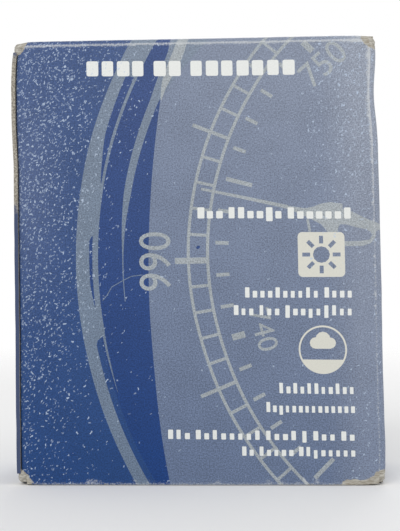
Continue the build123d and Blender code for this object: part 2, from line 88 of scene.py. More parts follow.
WIDTH, DEPTH, HEIGHT = [(b - a) / MM for a, b in zip(CAD_LOW, CAD_HIGH)]
side_low, side_high = node_box("right_side_panel")
BOARD = side_high[0] - side_low[0]
CREASE_R = HEIGHT - node_box("back_panel")[1][2]
CREASE_ARC = CREASE_R * math.pi / 2
FLAT_X, FLAT_Y = WIDTH / 2 - CREASE_R, DEPTH / 2 - CREASE_R
SIDE_BOTTOM, SIDE_TOP = side_low[2], side_high[2]
LID_HALF = node_box("top_lid")[1][0]
LID_LENGTH = node_box("top_lid")[1][1] + FLAT_Y
TUCK_HALF = node_box("top_tuck_flap")[1][0]
TUCK_LENGTH = HEIGHT - CREASE_R - node_box("top_tuck_flap")[0][2]
DUST_LENGTH, DUST_TAPERS = 30.0, (12.8, 5.0)
GLUE_WIDTH, GLUE_TAPER = 12.0, 5.0
HALF_X, HALF_Y = WIDTH / 2, DEPTH / 2
print("board", round(BOARD, 2), "crease", round(CREASE_R, 2), "lid", round(LID_LENGTH, 2))

# %% [markdown]
# ## The blank
# On the flat blank u runs round the tube and v up it. The panels follow each other: back, right side,
# front, left side, with the glue flap before the back. Each chain below says how a stretch of the blank
# folds: where it starts, which way it runs, which way its printed face looks, and the flats and creases
# along it. Each crease is a quarter turn inwards.

# %% Where the panels lie on the blank, and how the blank folds
BACK_U = WIDTH / 2 - FLAT_X + BOARD
RIGHT_U = BACK_U + 2 * FLAT_X - BOARD + CREASE_ARC
FRONT_U = RIGHT_U + 2 * FLAT_Y + CREASE_ARC
LEFT_U = FRONT_U + 2 * FLAT_X + CREASE_ARC
LEFT_END = LEFT_U + FLAT_Y - node_box("left_side_panel")[0][1]
BACK_TOP, FRONT_BOTTOM = HEIGHT - CREASE_R, CREASE_R
BACK_END, FRONT_START, FRONT_END = RIGHT_U - CREASE_ARC, FRONT_U - CREASE_ARC, LEFT_U - CREASE_ARC
X, Y, Z = np.eye(3)


def flat(length):
    return ("flat", length)


CREASE = ("crease", CREASE_ARC)
TUBE_RUN = [
    flat(2 * FLAT_X - BOARD),
    CREASE,
    flat(2 * FLAT_Y),
    CREASE,
    flat(2 * FLAT_X),
    CREASE,
    flat(LEFT_END - LEFT_U),
]
LID_RUN = [CREASE, flat(LID_LENGTH), CREASE, flat(TUCK_LENGTH)]
DUST_RUN = [CREASE, flat(DUST_LENGTH)]

# start point, direction of the run, printed side, direction across, flats and creases,
# and the blank point (u, v) as (distance along the run, position across it)
CHAINS = {
    "tube": (
        (BACK_U - WIDTH / 2, -DEPTH / 2, 0),
        X, -Y, Z, TUBE_RUN,
        lambda u, v: (u - BACK_U, v),
    ),
    "seam": (
        (BACK_U - WIDTH / 2, -DEPTH / 2, 0),
        -X, -Y, Z, [CREASE, flat(GLUE_WIDTH)],
        lambda u, v: (BACK_U - u, v),
    ),
    "top": (
        (0, -DEPTH / 2, BACK_TOP),
        Z, -Y, X, LID_RUN,
        lambda u, v: (v - BACK_TOP, u - WIDTH / 2),
    ),
    "bottom": (
        (0, DEPTH / 2, FRONT_BOTTOM),
        -Z, Y, X, LID_RUN,
        lambda u, v: (FRONT_BOTTOM - v, FRONT_U + FLAT_X - u),
    ),
    "top_right": (
        (WIDTH / 2, 0, SIDE_TOP),
        Z, X, Y, DUST_RUN,
        lambda u, v: (v - SIDE_TOP, u - RIGHT_U - FLAT_Y),
    ),
    "top_left": (
        (-WIDTH / 2, 0, SIDE_TOP),
        Z, -X, Y, DUST_RUN,
        lambda u, v: (v - SIDE_TOP, LEFT_U + FLAT_Y - u),
    ),
    "bottom_right": (
        (WIDTH / 2, 0, SIDE_BOTTOM),
        -Z, X, Y, DUST_RUN,
        lambda u, v: (SIDE_BOTTOM - v, u - RIGHT_U - FLAT_Y),
    ),
    "bottom_left": (
        (-WIDTH / 2, 0, SIDE_BOTTOM),
        -Z, -X, Y, DUST_RUN,
        lambda u, v: (SIDE_BOTTOM - v, LEFT_U + FLAT_Y - u),
    ),
}


def folded(chain, u, v):
    """Where blank points end up on the folded carton, and which way the printed face looks there."""
    start, along, out, across, run, to_run = CHAINS[chain]
    s, t = to_run(u, v)
    place, normal = np.zeros((len(s), 3)), np.zeros((len(s), 3))
    corner, begin = np.array(start, float), 0.0
    s = s.clip(0)
    for kind, length in run:
        here = s >= begin
        d = s[here, None] - begin
        if kind == "flat":
            place[here] = corner + along * d
            normal[here] = out
            corner = corner + along * length
        else:
            angle = d / CREASE_R
            normal[here] = out * np.cos(angle) + along * np.sin(angle)
            place[here] = corner - out * CREASE_R + normal[here] * CREASE_R
            corner = corner + (along - out) * CREASE_R
            along, out = -out, along
        begin += length
    return place + across * t[:, None], normal


print("blank runs from", round(BACK_U - CREASE_ARC - GLUE_WIDTH, 1), "to", round(LEFT_END, 1), "mm")

# %% [markdown]
# ## Inks
# The carton is printed in two blues with a pale dial. The pale shapes are tints of the same blue, and the
# words and symbols are left as bare white paper. Each ink is mixed with a pale grey by an amount that depends
# on where it lies: towards the top this is partly fading and partly painted light from above, round the right
# crease the ink grows paler, and along the left fold it is a painted sheen.


# %% Inks
def srgb(r, g, b):
    """A colour given as on a screen, 0 to 255, turned into linear light."""
    return np.array([((c / 255 + 0.055) / 1.055) ** 2.4 if c > 10 else c / 3294.6 for c in (r, g, b)])


EDGE_BLUE, DEEP_BLUE, RING_GREY, DIAL_BLUE, LINE_GREY, CREAM, WORD_WHITE = range(7)
INK_COLOURS = np.array(
    [
        srgb(34, 68, 121),
        srgb(23, 60, 119),
        srgb(105, 121, 142),
        srgb(99, 114, 142),
        srgb(156, 163, 168),
        srgb(213, 212, 202),
        srgb(226, 228, 225),
    ]
)
FADE_AND_LIGHT_GREY = srgb(205, 206, 207)
FADE_AND_LIGHT_SHARES = np.array([0.45, 0.4, 0.7, 1.0, 0.4, 0.0, 0.0])  # how strongly each ink pales, by fading and by painted light


def faded_and_lit(ink, u, v):
    """The ink's colour at a blank point: paler towards the top, partly as fading and partly as painted light
    from above, paler round the right crease, and with a painted sheen on the left fold.
    """
    # paler towards the top and the right crease: partly real fading, partly painted light from above
    height = np.clip((v - 8) / 110, 0, 1)
    across = np.clip((u - 20) / 75, 0, 1) * np.clip((150 - u) / 50, 0, 1)
    # paler round the right crease
    paler_right_and_sheen = 0.1 * np.clip((u - 81) / 9, 0, 1) * np.clip((112 - u) / 12, 0, 1)
    # painted sheen: a soft pale patch where light catches the left fold
    paler_right_and_sheen += 0.14 * np.exp(-(((u - 3) / 9) ** 2) - ((v - 76) / 26) ** 2)
    amount = (0.15 * height + 0.09 * across * height + 0.02 * across + paler_right_and_sheen) * FADE_AND_LIGHT_SHARES[ink]
    return INK_COLOURS[ink] * (1 - amount[:, None]) + FADE_AND_LIGHT_GREY * amount[:, None]


print(len(INK_COLOURS), "inks")

# %% [markdown]
# ## Drawing tools
# A shape is an ink and the short straight segments of its outline. Whether a point is inside is found by
# counting how many segments a line from it crosses, so an outline inside another is a hole.

# %% Shapes and their insides
shapes = []


def segments(loop):
    """A closed outline of points as an array of its segments."""
    loop = np.asarray(loop, float)
    return np.stack([loop, np.roll(loop, -1, axis=0)], axis=1)


def divided(a, b, step):
    """Evenly spaced points from a towards b, without b itself."""
    count = max(1, math.ceil(np.linalg.norm(b - a) / step))
    return [a + (b - a) * k / count for k in range(count)]


def subdivided(loop, step):
    """A closed outline with extra points, so that no side is longer than the step."""
    return np.array([p for a, b in segments(loop) for p in divided(a, b, step)])


def draw(ink, *loops):
    """Adds a shape to the artwork. Later shapes are printed over earlier ones."""
    shapes.append((ink, np.concatenate([segments(subdivided(loop, 2.5)) for loop in loops])))


def inside(points, outline):
    """True for each point that lies inside the outline."""
    low, high = outline.min(axis=(0, 1)), outline.max(axis=(0, 1))
    near = np.flatnonzero(np.all((points >= low) & (points <= high), axis=1))
    found = np.zeros(len(points), bool)
    if len(near):
        x, y = points[near, :1], points[near, 1:]
        (x0, y0), (x1, y1) = outline[:, 0].T, outline[:, 1].T
        crosses = (y0 > y) != (y1 > y)
        rise = np.where(y1 == y0, 1e-9, y1 - y0)
        left = x < x0 + (y - y0) * (x1 - x0) / rise
        found[near] = (crosses & left).sum(axis=1) % 2 == 1
    return found


print("is (1, 1) in a triangle?", inside(np.array([[1.0, 1.0]]), segments([(0, 0), (3, 0), (0, 3)]))[0])

# %% [markdown]
# ## Plain outlines
# Most of the artwork is circles, bars, boxes and spokes. Each function gives the points of one closed
# outline, in millimetres on the blank.


# %% Circles, bars, boxes and spokes
def ellipse(cx, cy, rx, ry=None, turn=0.0, count=None):
    """The points of a circle or a turned ellipse."""
    ry = rx if ry is None else ry
    count = count or max(12, int(max(rx, ry) * 4))
    angle = np.linspace(0, 2 * math.pi, count, endpoint=False)
    x, y = rx * np.cos(angle), ry * np.sin(angle)
    c, s = math.cos(math.radians(turn)), math.sin(math.radians(turn))
    return np.stack([cx + x * c - y * s, cy + x * s + y * c], axis=1)


def bar(x0, y0, x1, y1, w0, w1=None):
    """A straight bar from one point to another, with a width at each end."""
    w1 = w0 if w1 is None else w1
    along = np.array([x1 - x0, y1 - y0], float)
    side = np.array([-along[1], along[0]]) / np.hypot(*along) / 2
    a, b = np.array([x0, y0]), np.array([x1, y1])
    return np.array([a + side * w0, b + side * w1, b - side * w1, a - side * w0])


def box(x0, y0, x1, y1, radius=0.0):
    """An upright rectangle, with rounded corners if a radius is given."""
    if radius <= 0:
        return np.array([(x0, y0), (x1, y0), (x1, y1), (x0, y1)], float)
    quarter = np.radians(np.linspace(0, 90, 5))
    points = []
    for cx, cy, first in (
        (x1 - radius, y0 + radius, -90),
        (x1 - radius, y1 - radius, 0),
        (x0 + radius, y1 - radius, 90),
        (x0 + radius, y0 + radius, 180),
    ):
        angle = quarter + math.radians(first)
        points += list(np.stack([cx + radius * np.cos(angle), cy + radius * np.sin(angle)], axis=1))
    return np.array(points)


def spoke(cx, cy, angle, r0, r1, width):
    """A bar that points away from a centre."""
    c, s = math.cos(math.radians(angle)), math.sin(math.radians(angle))
    return bar(cx + r0 * c, cy + r0 * s, cx + r1 * c, cy + r1 * s, width)


print("a circle of 5 mm radius has", len(ellipse(0, 0, 5)), "points")

# %% [markdown]
# ## Brush strokes
# The dial's rim looks brushed because its width changes along the stroke, so a stroke has two lists of
# radii, outside and inside. The drawing is the same on both sides of the dial, so each stroke is drawn
# twice, once mirrored.


# %% Brush strokes and their mirror images
def brush(cx, cy, outer, inner, step=1.2):
    """A brush stroke left of a centre, between two radii that change with height: (height, radius) pairs."""
    sides = []
    for table in (outer, inner):
        heights, radii = zip(*sorted(table))
        h = np.linspace(heights[0], heights[-1], max(2, int((heights[-1] - heights[0]) / step) + 1))
        r = np.interp(h, heights, radii)
        sides.append(np.stack([cx - np.sqrt(r * r - (h - cy) ** 2), h], axis=1))
    return np.concatenate([sides[0], sides[1][::-1]])


MIRROR_U = 134.5


def mirrored(loop):
    """The same outline on the other side of the dial, for the front and left panels."""
    loop = np.array(loop, float)
    loop[:, 0] = 2 * MIRROR_U - loop[:, 0]
    return loop


def draw_twice(ink, *loops):
    draw(ink, *loops)
    draw(ink, *[mirrored(loop) for loop in loops])


print("the drawing is mirrored at", MIRROR_U, "mm")

# %% [markdown]
# ## Figures
# Blender's own font gives the figures of the scale. A text curve without a fill turns into a mesh of bare
# edges, which is just what an outline is made of.


# %% Figures as outlines
def lettering(text, size, offset=0.0):
    """The outline segments of plain figures, centred, with capitals of the given height."""
    curve = bpy.data.curves.new("figures", "FONT")
    curve.body, curve.fill_mode, curve.resolution_u, curve.offset = text, "NONE", 4, offset
    holder = bpy.data.objects.new("figures", curve)
    bpy.context.scene.collection.objects.link(holder)
    bpy.context.view_layer.update()
    outline = holder.to_mesh()
    points = np.array([v.co[:2] for v in outline.vertices])
    found = np.array([[points[i] for i in edge.vertices] for edge in outline.edges])
    holder.to_mesh_clear()
    bpy.data.objects.remove(holder)
    bpy.data.curves.remove(curve)
    low, high = points.min(axis=0), points.max(axis=0)
    return (found - (low + high) / 2) * size / (high[1] - low[1])


def draw_figures(ink, text, cx, cy, turn, size, offset=0.02, stretch=1.0):
    """Prints figures round the point (cx, cy), turned by an angle in degrees."""
    found = lettering(text, size, offset) * np.array([stretch, 1.0])
    c, s = math.cos(math.radians(turn)), math.sin(math.radians(turn))
    turned = found @ np.array([[c, s], [-s, c]])
    shapes.append((ink, turned + np.array([cx, cy])))


print("a figure 8 has", len(lettering("8", 1.0)), "segments")

# %% [markdown]
# ## The printed dial
# The dial's rim is drawn as if with a dry brush: a broad grey ring with dark slivers in it, a second thin
# stroke inside, and the dial's face beyond. Its centre lies on the corner between the right side and the
# front, so the drawing wraps round three panels, and the lid and the flaps carry what runs off the edges.

# %% Rim and face
RIM = (135.0, 58.5)
draw(DEEP_BLUE, ellipse(*RIM, 114.0, count=300))
# each stroke: its ink, and its outer and inner radius at some heights
RIM_STROKES = (
    (RING_GREY, [(170, 118.7), (-55, 118.7)], [(170, 112.8), (39.3, 112.8), (37.3, 115.6), (-55, 115.6)]),
    (DEEP_BLUE, [(79, 113.7), (92, 115.4), (107.5, 115.75)], [(79, 113.5), (107, 113.6)]),
    (DEEP_BLUE, [(46.5, 114.4), (52, 115.1), (64, 115.2), (65, 114.6)], [(46.5, 114.3), (65, 114.3)]),
    (RING_GREY, [(40, 113.6), (31, 113.5), (24, 113.45)], [(40, 112.9), (31, 113.1), (24, 113.4)]),
)
for ink, outer, inner in RIM_STROKES:
    draw_twice(ink, brush(*RIM, outer, inner))

FACE_R, FACE_CENTRE = 310.0, (345.6, 54.0)
face_angle = np.radians(np.linspace(-16.5, 16.5, 120))
face_left = np.stack(
    [FACE_CENTRE[0] - FACE_R * np.cos(face_angle), FACE_CENTRE[1] + FACE_R * np.sin(face_angle)], axis=1
)
draw(DIAL_BLUE, np.concatenate([face_left, mirrored(face_left)[::-1]]))
print(len(shapes), "shapes in the rim and face")

# %% [markdown]
# ## Finer strokes
# Inside the rim runs a second, thinner stroke that fades out downwards. A pale highlight crosses the top of
# the dial's face, and a long thin scratch crosses the dark ring.

# %% Second stroke, highlight and scratch
inner_stroke = brush(
    *RIM,
    [(48, 106.3), (60, 106.3), (76, 107.2), (101, 107.3), (104, 107.6), (112, 108.4), (122, 110)],
    [(48, 106.1), (60, 106.0), (68, 105.8), (76, 105.3), (101, 105.1), (108, 103.5), (122, 100)],
)
draw_twice(RING_GREY, inner_stroke)
HIGHLIGHT = (
    (101, 39.2, 39.5),
    (104, 39.4, 40.6),
    (106, 39.7, 41.7),
    (110, 41.1, 44.0),
    (112, 41.9, 45.1),
    (114, 42.8, 45.8),
    (117, 44.0, 46.8),
    (121, 46.4, 48.6),
)
draw_twice(LINE_GREY, [(a, v) for v, a, b in HIGHLIGHT] + [(b, v) for v, a, b in reversed(HIGHLIGHT)])
scratch = [(23.3, 48.2), (24.5, 49.6), (25.8, 51.8), (28.8, 53.5), (31, 54.6), (34, 55)]
for (x0, y0), (x1, y1) in zip(scratch, scratch[1:]):
    draw(RING_GREY, bar(x0, y0, x1, y1, 0.22, 0.18))
print(len(shapes), "shapes with the finer strokes")

# %% [markdown]
# ## Scale
# The scale is a ladder of two circles with a tick every 4.5 degrees, longer at each fifth. Inside it a
# second scale has a dash every 6 degrees.

# %% Ladder and ticks
SCALE = (134.0, 60.0)
for radius in (83.0, 88.0):
    draw(LINE_GREY, ellipse(*SCALE, radius + 0.4, count=260), ellipse(*SCALE, radius - 0.4, count=260))


def ticks(count, first, step, tenth, fifth, other):
    """Ticks round the scale from a first angle. Each kind is a start radius, an end radius and a width."""
    for k in range(count):
        kind = tenth if k % 10 == 0 else fifth if k % 5 == 0 else other
        draw(LINE_GREY, spoke(*SCALE, first + step * k, *kind))


ticks(80, 180.85, 4.5, (83.3, 91.5, 1.6), (83.0, 93.0, 0.95), (83.3, 87.7, 0.8))
ticks(60, 195.6, 6, (76.5, 80.0, 1.7), (73.5, 80.5, 1.1), (77.6, 81.0, 0.95))
print(len(shapes), "shapes with the scale")

# %% [markdown]
# ## Figures on the scale
# The figures are a barometer's usual ones. Those on the back panel are placed one by one, and the others
# stand round the scale at their angles.


# %% Scale figures
def figures_round(pairs, radius, size, offset=0.02, stretch=1.0):
    """Figures at angles round the scale, their feet towards its centre."""
    for text, angle in pairs:
        at = math.radians(angle)
        cx, cy = SCALE[0] + radius * math.cos(at), SCALE[1] + radius * math.sin(at)
        draw_figures(LINE_GREY, text, cx, cy, angle - 90, size, offset, stretch)


draw_figures(LINE_GREY, "990", 37.3, 58.5, 90, 8.3, 0.06, 0.9)
large = [(str(1000 + 10 * k), 135.85 - 45 * k) for k in range(4)] + [("1040", 315.85)]
figures_round(large, 96.7, 8.3, 0.045, 0.9)
draw_figures(LINE_GREY, "750", 82, 110.3, 42, 6.4, 0.075)
draw_figures(LINE_GREY, "740", 65.3, 40.6, -75, 5.4, 0.05)
figures_round([("760", 75.6), ("770", 15.6)], 72.0, 6.0)
print(len(shapes), "shapes with the figures")

# %% [markdown]
# ## Hand
# The hand is an old-fashioned one with a pointed tip, a spade and an oval loop. It runs over the right side
# panel to the dial's centre. Two dark specks of stray ink come after it.

# %% Hand and specks
draw(LINE_GREY, bar(49.5, 77.4, 72, 72.7, 0.7, 1.0))
hand = [(71.5, 73.1), (76.5, 72.4), (78.6, 72.8), (80.5, 73.6), (83.0, 74.0), (86.2, 73.6), (86.2, 72.2)]
hand += [(88.8, 71.5), (91.3, 70.2), (93.2, 69.3), (95.7, 68.4), (98.0, 67.8), (98.0, 66.2), (95.7, 66.9)]
hand += [(94.7, 66.3), (94.6, 65.0), (93.4, 63.3), (91.0, 62.5), (84.5, 62.5), (83.0, 64.0), (82.2, 66.2)]
hand += [(80.6, 68.2), (78.0, 69.6), (74.5, 71.2), (71.5, 72.4)]
loop = [(84.8, 66.9), (85.4, 68.2), (87.0, 68.2), (89.3, 67.5), (92.2, 66.9), (93.4, 66.1), (93.7, 65.3)]
loop += [(93.0, 64.2), (90.1, 63.8), (86.0, 63.8), (84.8, 64.6)]
draw(LINE_GREY, hand, loop)
draw(LINE_GREY, bar(77.1, 69.6, 77.6, 66.4, 0.7), bar(77.6, 66.3, 78.6, 63.5, 0.7, 0.4))
draw(LINE_GREY, bar(98.1, 67.0, 127.5, 61.3, 1.6, 2.6))
draw(LINE_GREY, ellipse(*SCALE, 6.5))
draw(DIAL_BLUE, ellipse(*SCALE, 3.2))
for speck in (ellipse(48.6, 62.2, 0.55, 0.4, 30), ellipse(14.9, 8.2, 0.45, 0.35)):
    draw(DEEP_BLUE, speck)
print(len(shapes), "shapes with the hand")

# %% [markdown]
# ## Words
# Where the carton has words, this one has rows of plain blocks, one for each letter, so that the page keeps
# its rhythm and says nothing.

# %% Rows of letter blocks
rng = random.Random(7)


def block_row(x0, x1, z0, z1, words, fill=0.54, capitals=False):
    """Prints words as letter blocks between x0 and x1, from the baseline z0 to the top z1.

    The fill is how much of its space a block takes: bold type fills more than light type.
    """
    tall = z1 - z0
    low = tall * (1.0 if capitals else 0.66)
    letters = sum(words)
    space = 0.42 * low
    pitch = (x1 - x0 - space * (len(words) - 1)) / letters
    x = x0
    for word in words:
        for letter in range(word):
            width = pitch * (fill + rng.uniform(-0.07, 0.07))
            top = z1 if capitals or letter == 0 or rng.random() < 0.2 else z0 + low
            foot = z0 - 0.25 * tall if not capitals and rng.random() < 0.08 else z0
            draw(WORD_WHITE, box(x, foot, x + width, top, 0.16 * width))
            x += pitch
        x += space


block_row(19.7, 75.5, 107.3, 111.3, [4, 2, 7], 0.8, capitals=True)
block_row(48.5, 89, 69.7, 72.6, [3, 6, 7], 0.7)
block_row(60.5, 89, 49.0, 51.7, [10, 4])
block_row(57.5, 89, 44.4, 47.0, [3, 3, 9])
block_row(69, 89, 24.3, 27.0, [11])
block_row(65.5, 89, 19.4, 22.0, [14])
block_row(40, 89, 12.2, 14.6, [3, 8, 4, 1, 3, 2])
block_row(59, 89, 8.1, 10.5, [2, 5, 8])
print(len(shapes), "shapes with the letter blocks")

# %% [markdown]
# ## Symbols
# The two symbols are a sun on a rounded square, and a cloud over the ground in a ring. Both are common
# weather signs.


# %% Sun and cloud
def sun(ink, cx, cy, size):
    """A disc with eight rays."""
    draw(ink, ellipse(cx, cy, 0.42 * size))
    for k in range(8):
        draw(ink, spoke(cx, cy, 45 * k, 0.56 * size, 0.95 * size, 0.2 * size))


def cloud(ink, cx, cy, size):
    """Three round heads on a flat base."""
    draw(ink, ellipse(cx - 0.5 * size, cy, 0.42 * size))
    draw(ink, ellipse(cx + 0.05 * size, cy + 0.28 * size, 0.55 * size))
    draw(ink, ellipse(cx + 0.6 * size, cy, 0.4 * size))
    draw(ink, box(cx - 0.55 * size, cy - 0.42 * size, cx + 0.65 * size, cy + 0.1 * size))


draw(CREAM, box(74.4, 54.4, 86.5, 66.2, 1.2))
sun(DIAL_BLUE, 80.45, 60.3, 5.2)
draw(CREAM, ellipse(80.5, 35.6, 6.2, count=48), ellipse(80.5, 35.6, 5.75, count=48))
cloud(CREAM, 80.4, 37.3, 3.5)
ground_angle = np.radians(np.linspace(205, 335, 20))
draw(CREAM, np.stack([80.5 + 6.0 * np.cos(ground_angle), 35.6 + 6.0 * np.sin(ground_angle)], axis=1))
print(len(shapes), "shapes with the symbols")

# %% [markdown]
# ## The front panel's print
# The front says nothing either. It has a heading, a line below it and three weather signs in rings: sun,
# cloud and rain.

# %% Heading, line and three signs
front_middle = FRONT_U + FLAT_X
block_row(front_middle - 30, front_middle + 30, 98, 104, [7, 5], 0.8, capitals=True)
block_row(front_middle - 26, front_middle + 26, 89, 92.4, [6, 3, 8])
for step, sign in ((-1, sun), (0, cloud), (1, cloud)):
    cx = front_middle + 22 * step
    draw(CREAM, ellipse(cx, 18, 8, count=56), ellipse(cx, 18, 7.4, count=56))
    sign(CREAM, cx, 18.5 if step else 17.6, 4.6 if sign is sun else 4.2)
for drop in (-2.4, 0.3, 3.0):
    draw(CREAM, bar(front_middle + 22 + drop, 16.0, front_middle + 21.2 + drop, 13.4, 0.6))
print(len(shapes), "shapes in all")

# %% [markdown]
# ## How the print lies on the board
# The print is slightly out of square with the cut blank: across the back panel it drops by one millimetre,
# and the panels beyond keep that drop.

# %% The print out of square
PRINT_DROP = 0.0102
for _, art in shapes:
    art[..., 1] -= PRINT_DROP * art[..., 0].clip(0, WIDTH)
print(len(shapes), "shapes lowered towards the right")

# %% [markdown]
# ## Age
# A carton that has stood on a shelf isn't square any more. It leans a little, its panels bulge, its corners
# are crushed and one edge is dented. One smooth field moves every point of the board, so panels, creases
# and flaps that meet at rest still meet after it.


# %% Distances to edges and corners
def face_distances(place):
    """How far each point is from the nearest side face, back or front face, and end face, sorted."""
    x, y, z = np.abs(place).T
    return np.sort(np.stack([HALF_X - x, HALF_Y - y, np.minimum(z, np.abs(HEIGHT - z))], axis=1), axis=1)


def edge_distance(place):
    return face_distances(place)[:, 1].clip(0)


def corner_distance(place):
    return np.linalg.norm(face_distances(place).clip(0), axis=1)


def smooth_step(low, high, value):
    t = np.clip((value - low) / (high - low), 0, 1)
    return t * t * (3 - 2 * t)


print("the top centre is", edge_distance(np.array([[0, 0, HEIGHT]]))[0].round(1), "mm from an edge")

# %% [markdown]
# ## Lean, bulges and dents
# The lean, the bulge of the large faces, a bulge and a dent in the sides, and crushed corners are added up.
# Noise of two sizes makes them uneven. Nothing sinks below the surface that the carton stands on.

# %% How the board has moved
LEAN = -0.009  # sideways, for each millimetre of height
CORNER_CRUSH = {
    (-1, -1, 1): 0.9,
    (1, -1, 1): 0.5,
    (-1, -1, 0): 0.35,
    (1, -1, 0): 0.5,
    (-1, 1, 1): 0.3,
    (1, 1, 1): 0.35,
    (-1, 1, 0): 0.5,
    (1, 1, 0): 0.6,
}  # side, face and end, and the depth in millimetres
CRUSH_REACH = 3.6


def warped(place):
    """How far each point of the board has moved over the years, in millimetres."""
    x, y, z = place.T
    move = np.zeros_like(place)
    move[:, 0] += LEAN * (z - HEIGHT / 2)
    middle = HEIGHT / 2
    inner = (1 - (x / HALF_X) ** 2).clip(0) * (1 - ((z - middle) / middle) ** 2).clip(0)
    move[:, 1] += np.sign(y) * 0.35 * inner * (np.abs(y) / HALF_Y) ** 4
    # the left side bulges near the top, and the right edge has a long dent there
    left = (-x / HALF_X).clip(0) ** 6
    right = (x / HALF_X).clip(0) ** 12
    move[:, 0] -= 0.45 * left * np.exp(-(((z - 98) / 13) ** 2))
    move[:, 0] -= right * np.exp(-(((z - 102) / 7.5) ** 2)) * np.exp(-(y + HALF_Y).clip(0) / 9)
    coarse = np.array([noise.noise_vector(Vector(p) / 26) for p in place])
    fine = np.array([noise.noise_vector(Vector(p) / 5) for p in place])
    edge = np.exp(-edge_distance(place) / 2.5)[:, None]
    calm = 0.3 + 0.7 * smooth_step(0, 14, np.minimum(z, HEIGHT - z))[:, None]
    move += 0.22 * coarse * calm + 0.10 * fine * edge * calm
    for (sx, sy, top), depth in CORNER_CRUSH.items():
        corner = np.array([sx * HALF_X, sy * HALF_Y, HEIGHT * top])
        away = place - corner
        distance = np.linalg.norm(away, axis=1)
        inward = np.array([-sx, -sy, 1 - 2 * top]) / math.sqrt(3)
        crumple = 1 + 0.6 * fine[:, 0]
        move += (depth * np.exp(-((distance / CRUSH_REACH) ** 2)) * crumple)[:, None] * inward
    move[:, 2] -= (place[:, 2] + move[:, 2]).clip(None, 0)
    return move


print("the top leans", round(abs(LEAN) * HEIGHT, 2), "mm away from the foot")

# %% [markdown]
# ## Wear
# Three fields say how worn each point is: how rubbed, how near to bare board, and how thick the flecks of
# lost ink lie. The fleck field also carries a painted sheen: a narrow band of pale flecks along the left
# fold.
# The print is rubbed white along the lines where each flat turns into its crease.


# %% Wear fields
def wear_fields(place, u, v):
    """For each point: how rubbed it is, how near to bare board, and how thick the flecks are, with a painted
    sheen of flecks on the left fold.
    """
    edge, corner = edge_distance(place), corner_distance(place)
    rubbed = 0.75 * np.exp(-edge / 1.2)
    for line in (BACK_END - 0.25, RIGHT_U + 0.3, FRONT_START - 0.3, FRONT_U + 0.3, LEFT_U + 0.3):
        rubbed = np.maximum(rubbed, 0.95 * np.exp(-(((u - line) / 0.4) ** 2)))
    for line in (BACK_TOP + 0.1, BACK_TOP + CREASE_ARC - 0.2, FRONT_BOTTOM - 0.1):
        rubbed = np.maximum(rubbed, 0.9 * np.exp(-(((v - line) / 0.4) ** 2)))
    rubbed += 0.30 * smooth_step(86, 93, u) * smooth_step(60, 105, v) * (u < BACK_END)
    bare = 1 - smooth_step(2.2, 6.0, corner)
    strip = smooth_step(83, 86, u) * (1 - smooth_step(98, 100, u)) * (1 - smooth_step(0.6, 1.7, v))
    torn_left = np.exp(-(((v - 92) / 15) ** 2)) * smooth_step(267.6, 269.6, u)
    nicks = (1 - smooth_step(0.1, 0.9, v)) * 0.55
    bare = np.maximum.reduce([bare, strip, torn_left, nicks])
    from_left = np.where(u > MIRROR_U, 2 * MIRROR_U - u, u).clip(0)
    high = smooth_step(5, 75, v)
    flecks_and_sheen = (0.30 + 0.62 * high) * np.exp(-((from_left / 19) ** 2.4))
    flecks_and_sheen += 0.30 * np.exp(-(((from_left - 16) / 17) ** 2)) * smooth_step(78, 108, v)
    # painted sheen: a narrow band of pale flecks where light catches the left fold
    flecks_and_sheen += 0.34 * np.exp(-(((from_left - 2.8) / 1.3) ** 2))
    flecks_and_sheen += 0.8 * smooth_step(72, 93, u) * (u < 100) * smooth_step(66, 98, v)
    flecks_and_sheen += 0.12 * smooth_step(80, 93, u) * (u < 100)
    return rubbed.clip(0, 1.4), bare, flecks_and_sheen + 0.012


print("the print is rubbed along", 5 + 3, "crease lines")

# %% [markdown]
# ## Cutting the board
# A sheet is cut from the blank with its artwork: the outline, the ink boundaries and a loose grid of points
# are joined into triangles that never cross an ink boundary, so each triangle has one ink.

# %% Triangles along ink boundaries and creases
BEND_STEPS = 8
TOUCHING = 1e-4  # millimetres: lines nearer to a sheet's edge than this are left out


def crease_lines(chain):
    """The blank's axis that the chain runs along (0 for u, 1 for v), and where on it the board bends."""
    _, along, _, _, run, to_run = CHAINS[chain]
    zero = np.array([0.0])
    origin = to_run(zero, zero)[0][0]
    slope = to_run(zero + 1, zero + 1)[0][0] - origin
    lines, begin = [], 0.0
    for kind, length in run:
        if kind == "crease":
            lines += list(begin + length * np.arange(BEND_STEPS + 1) / BEND_STEPS)
        begin += length
    return int(abs(along[2]) > 0.5), [(line - origin) / slope for line in lines]


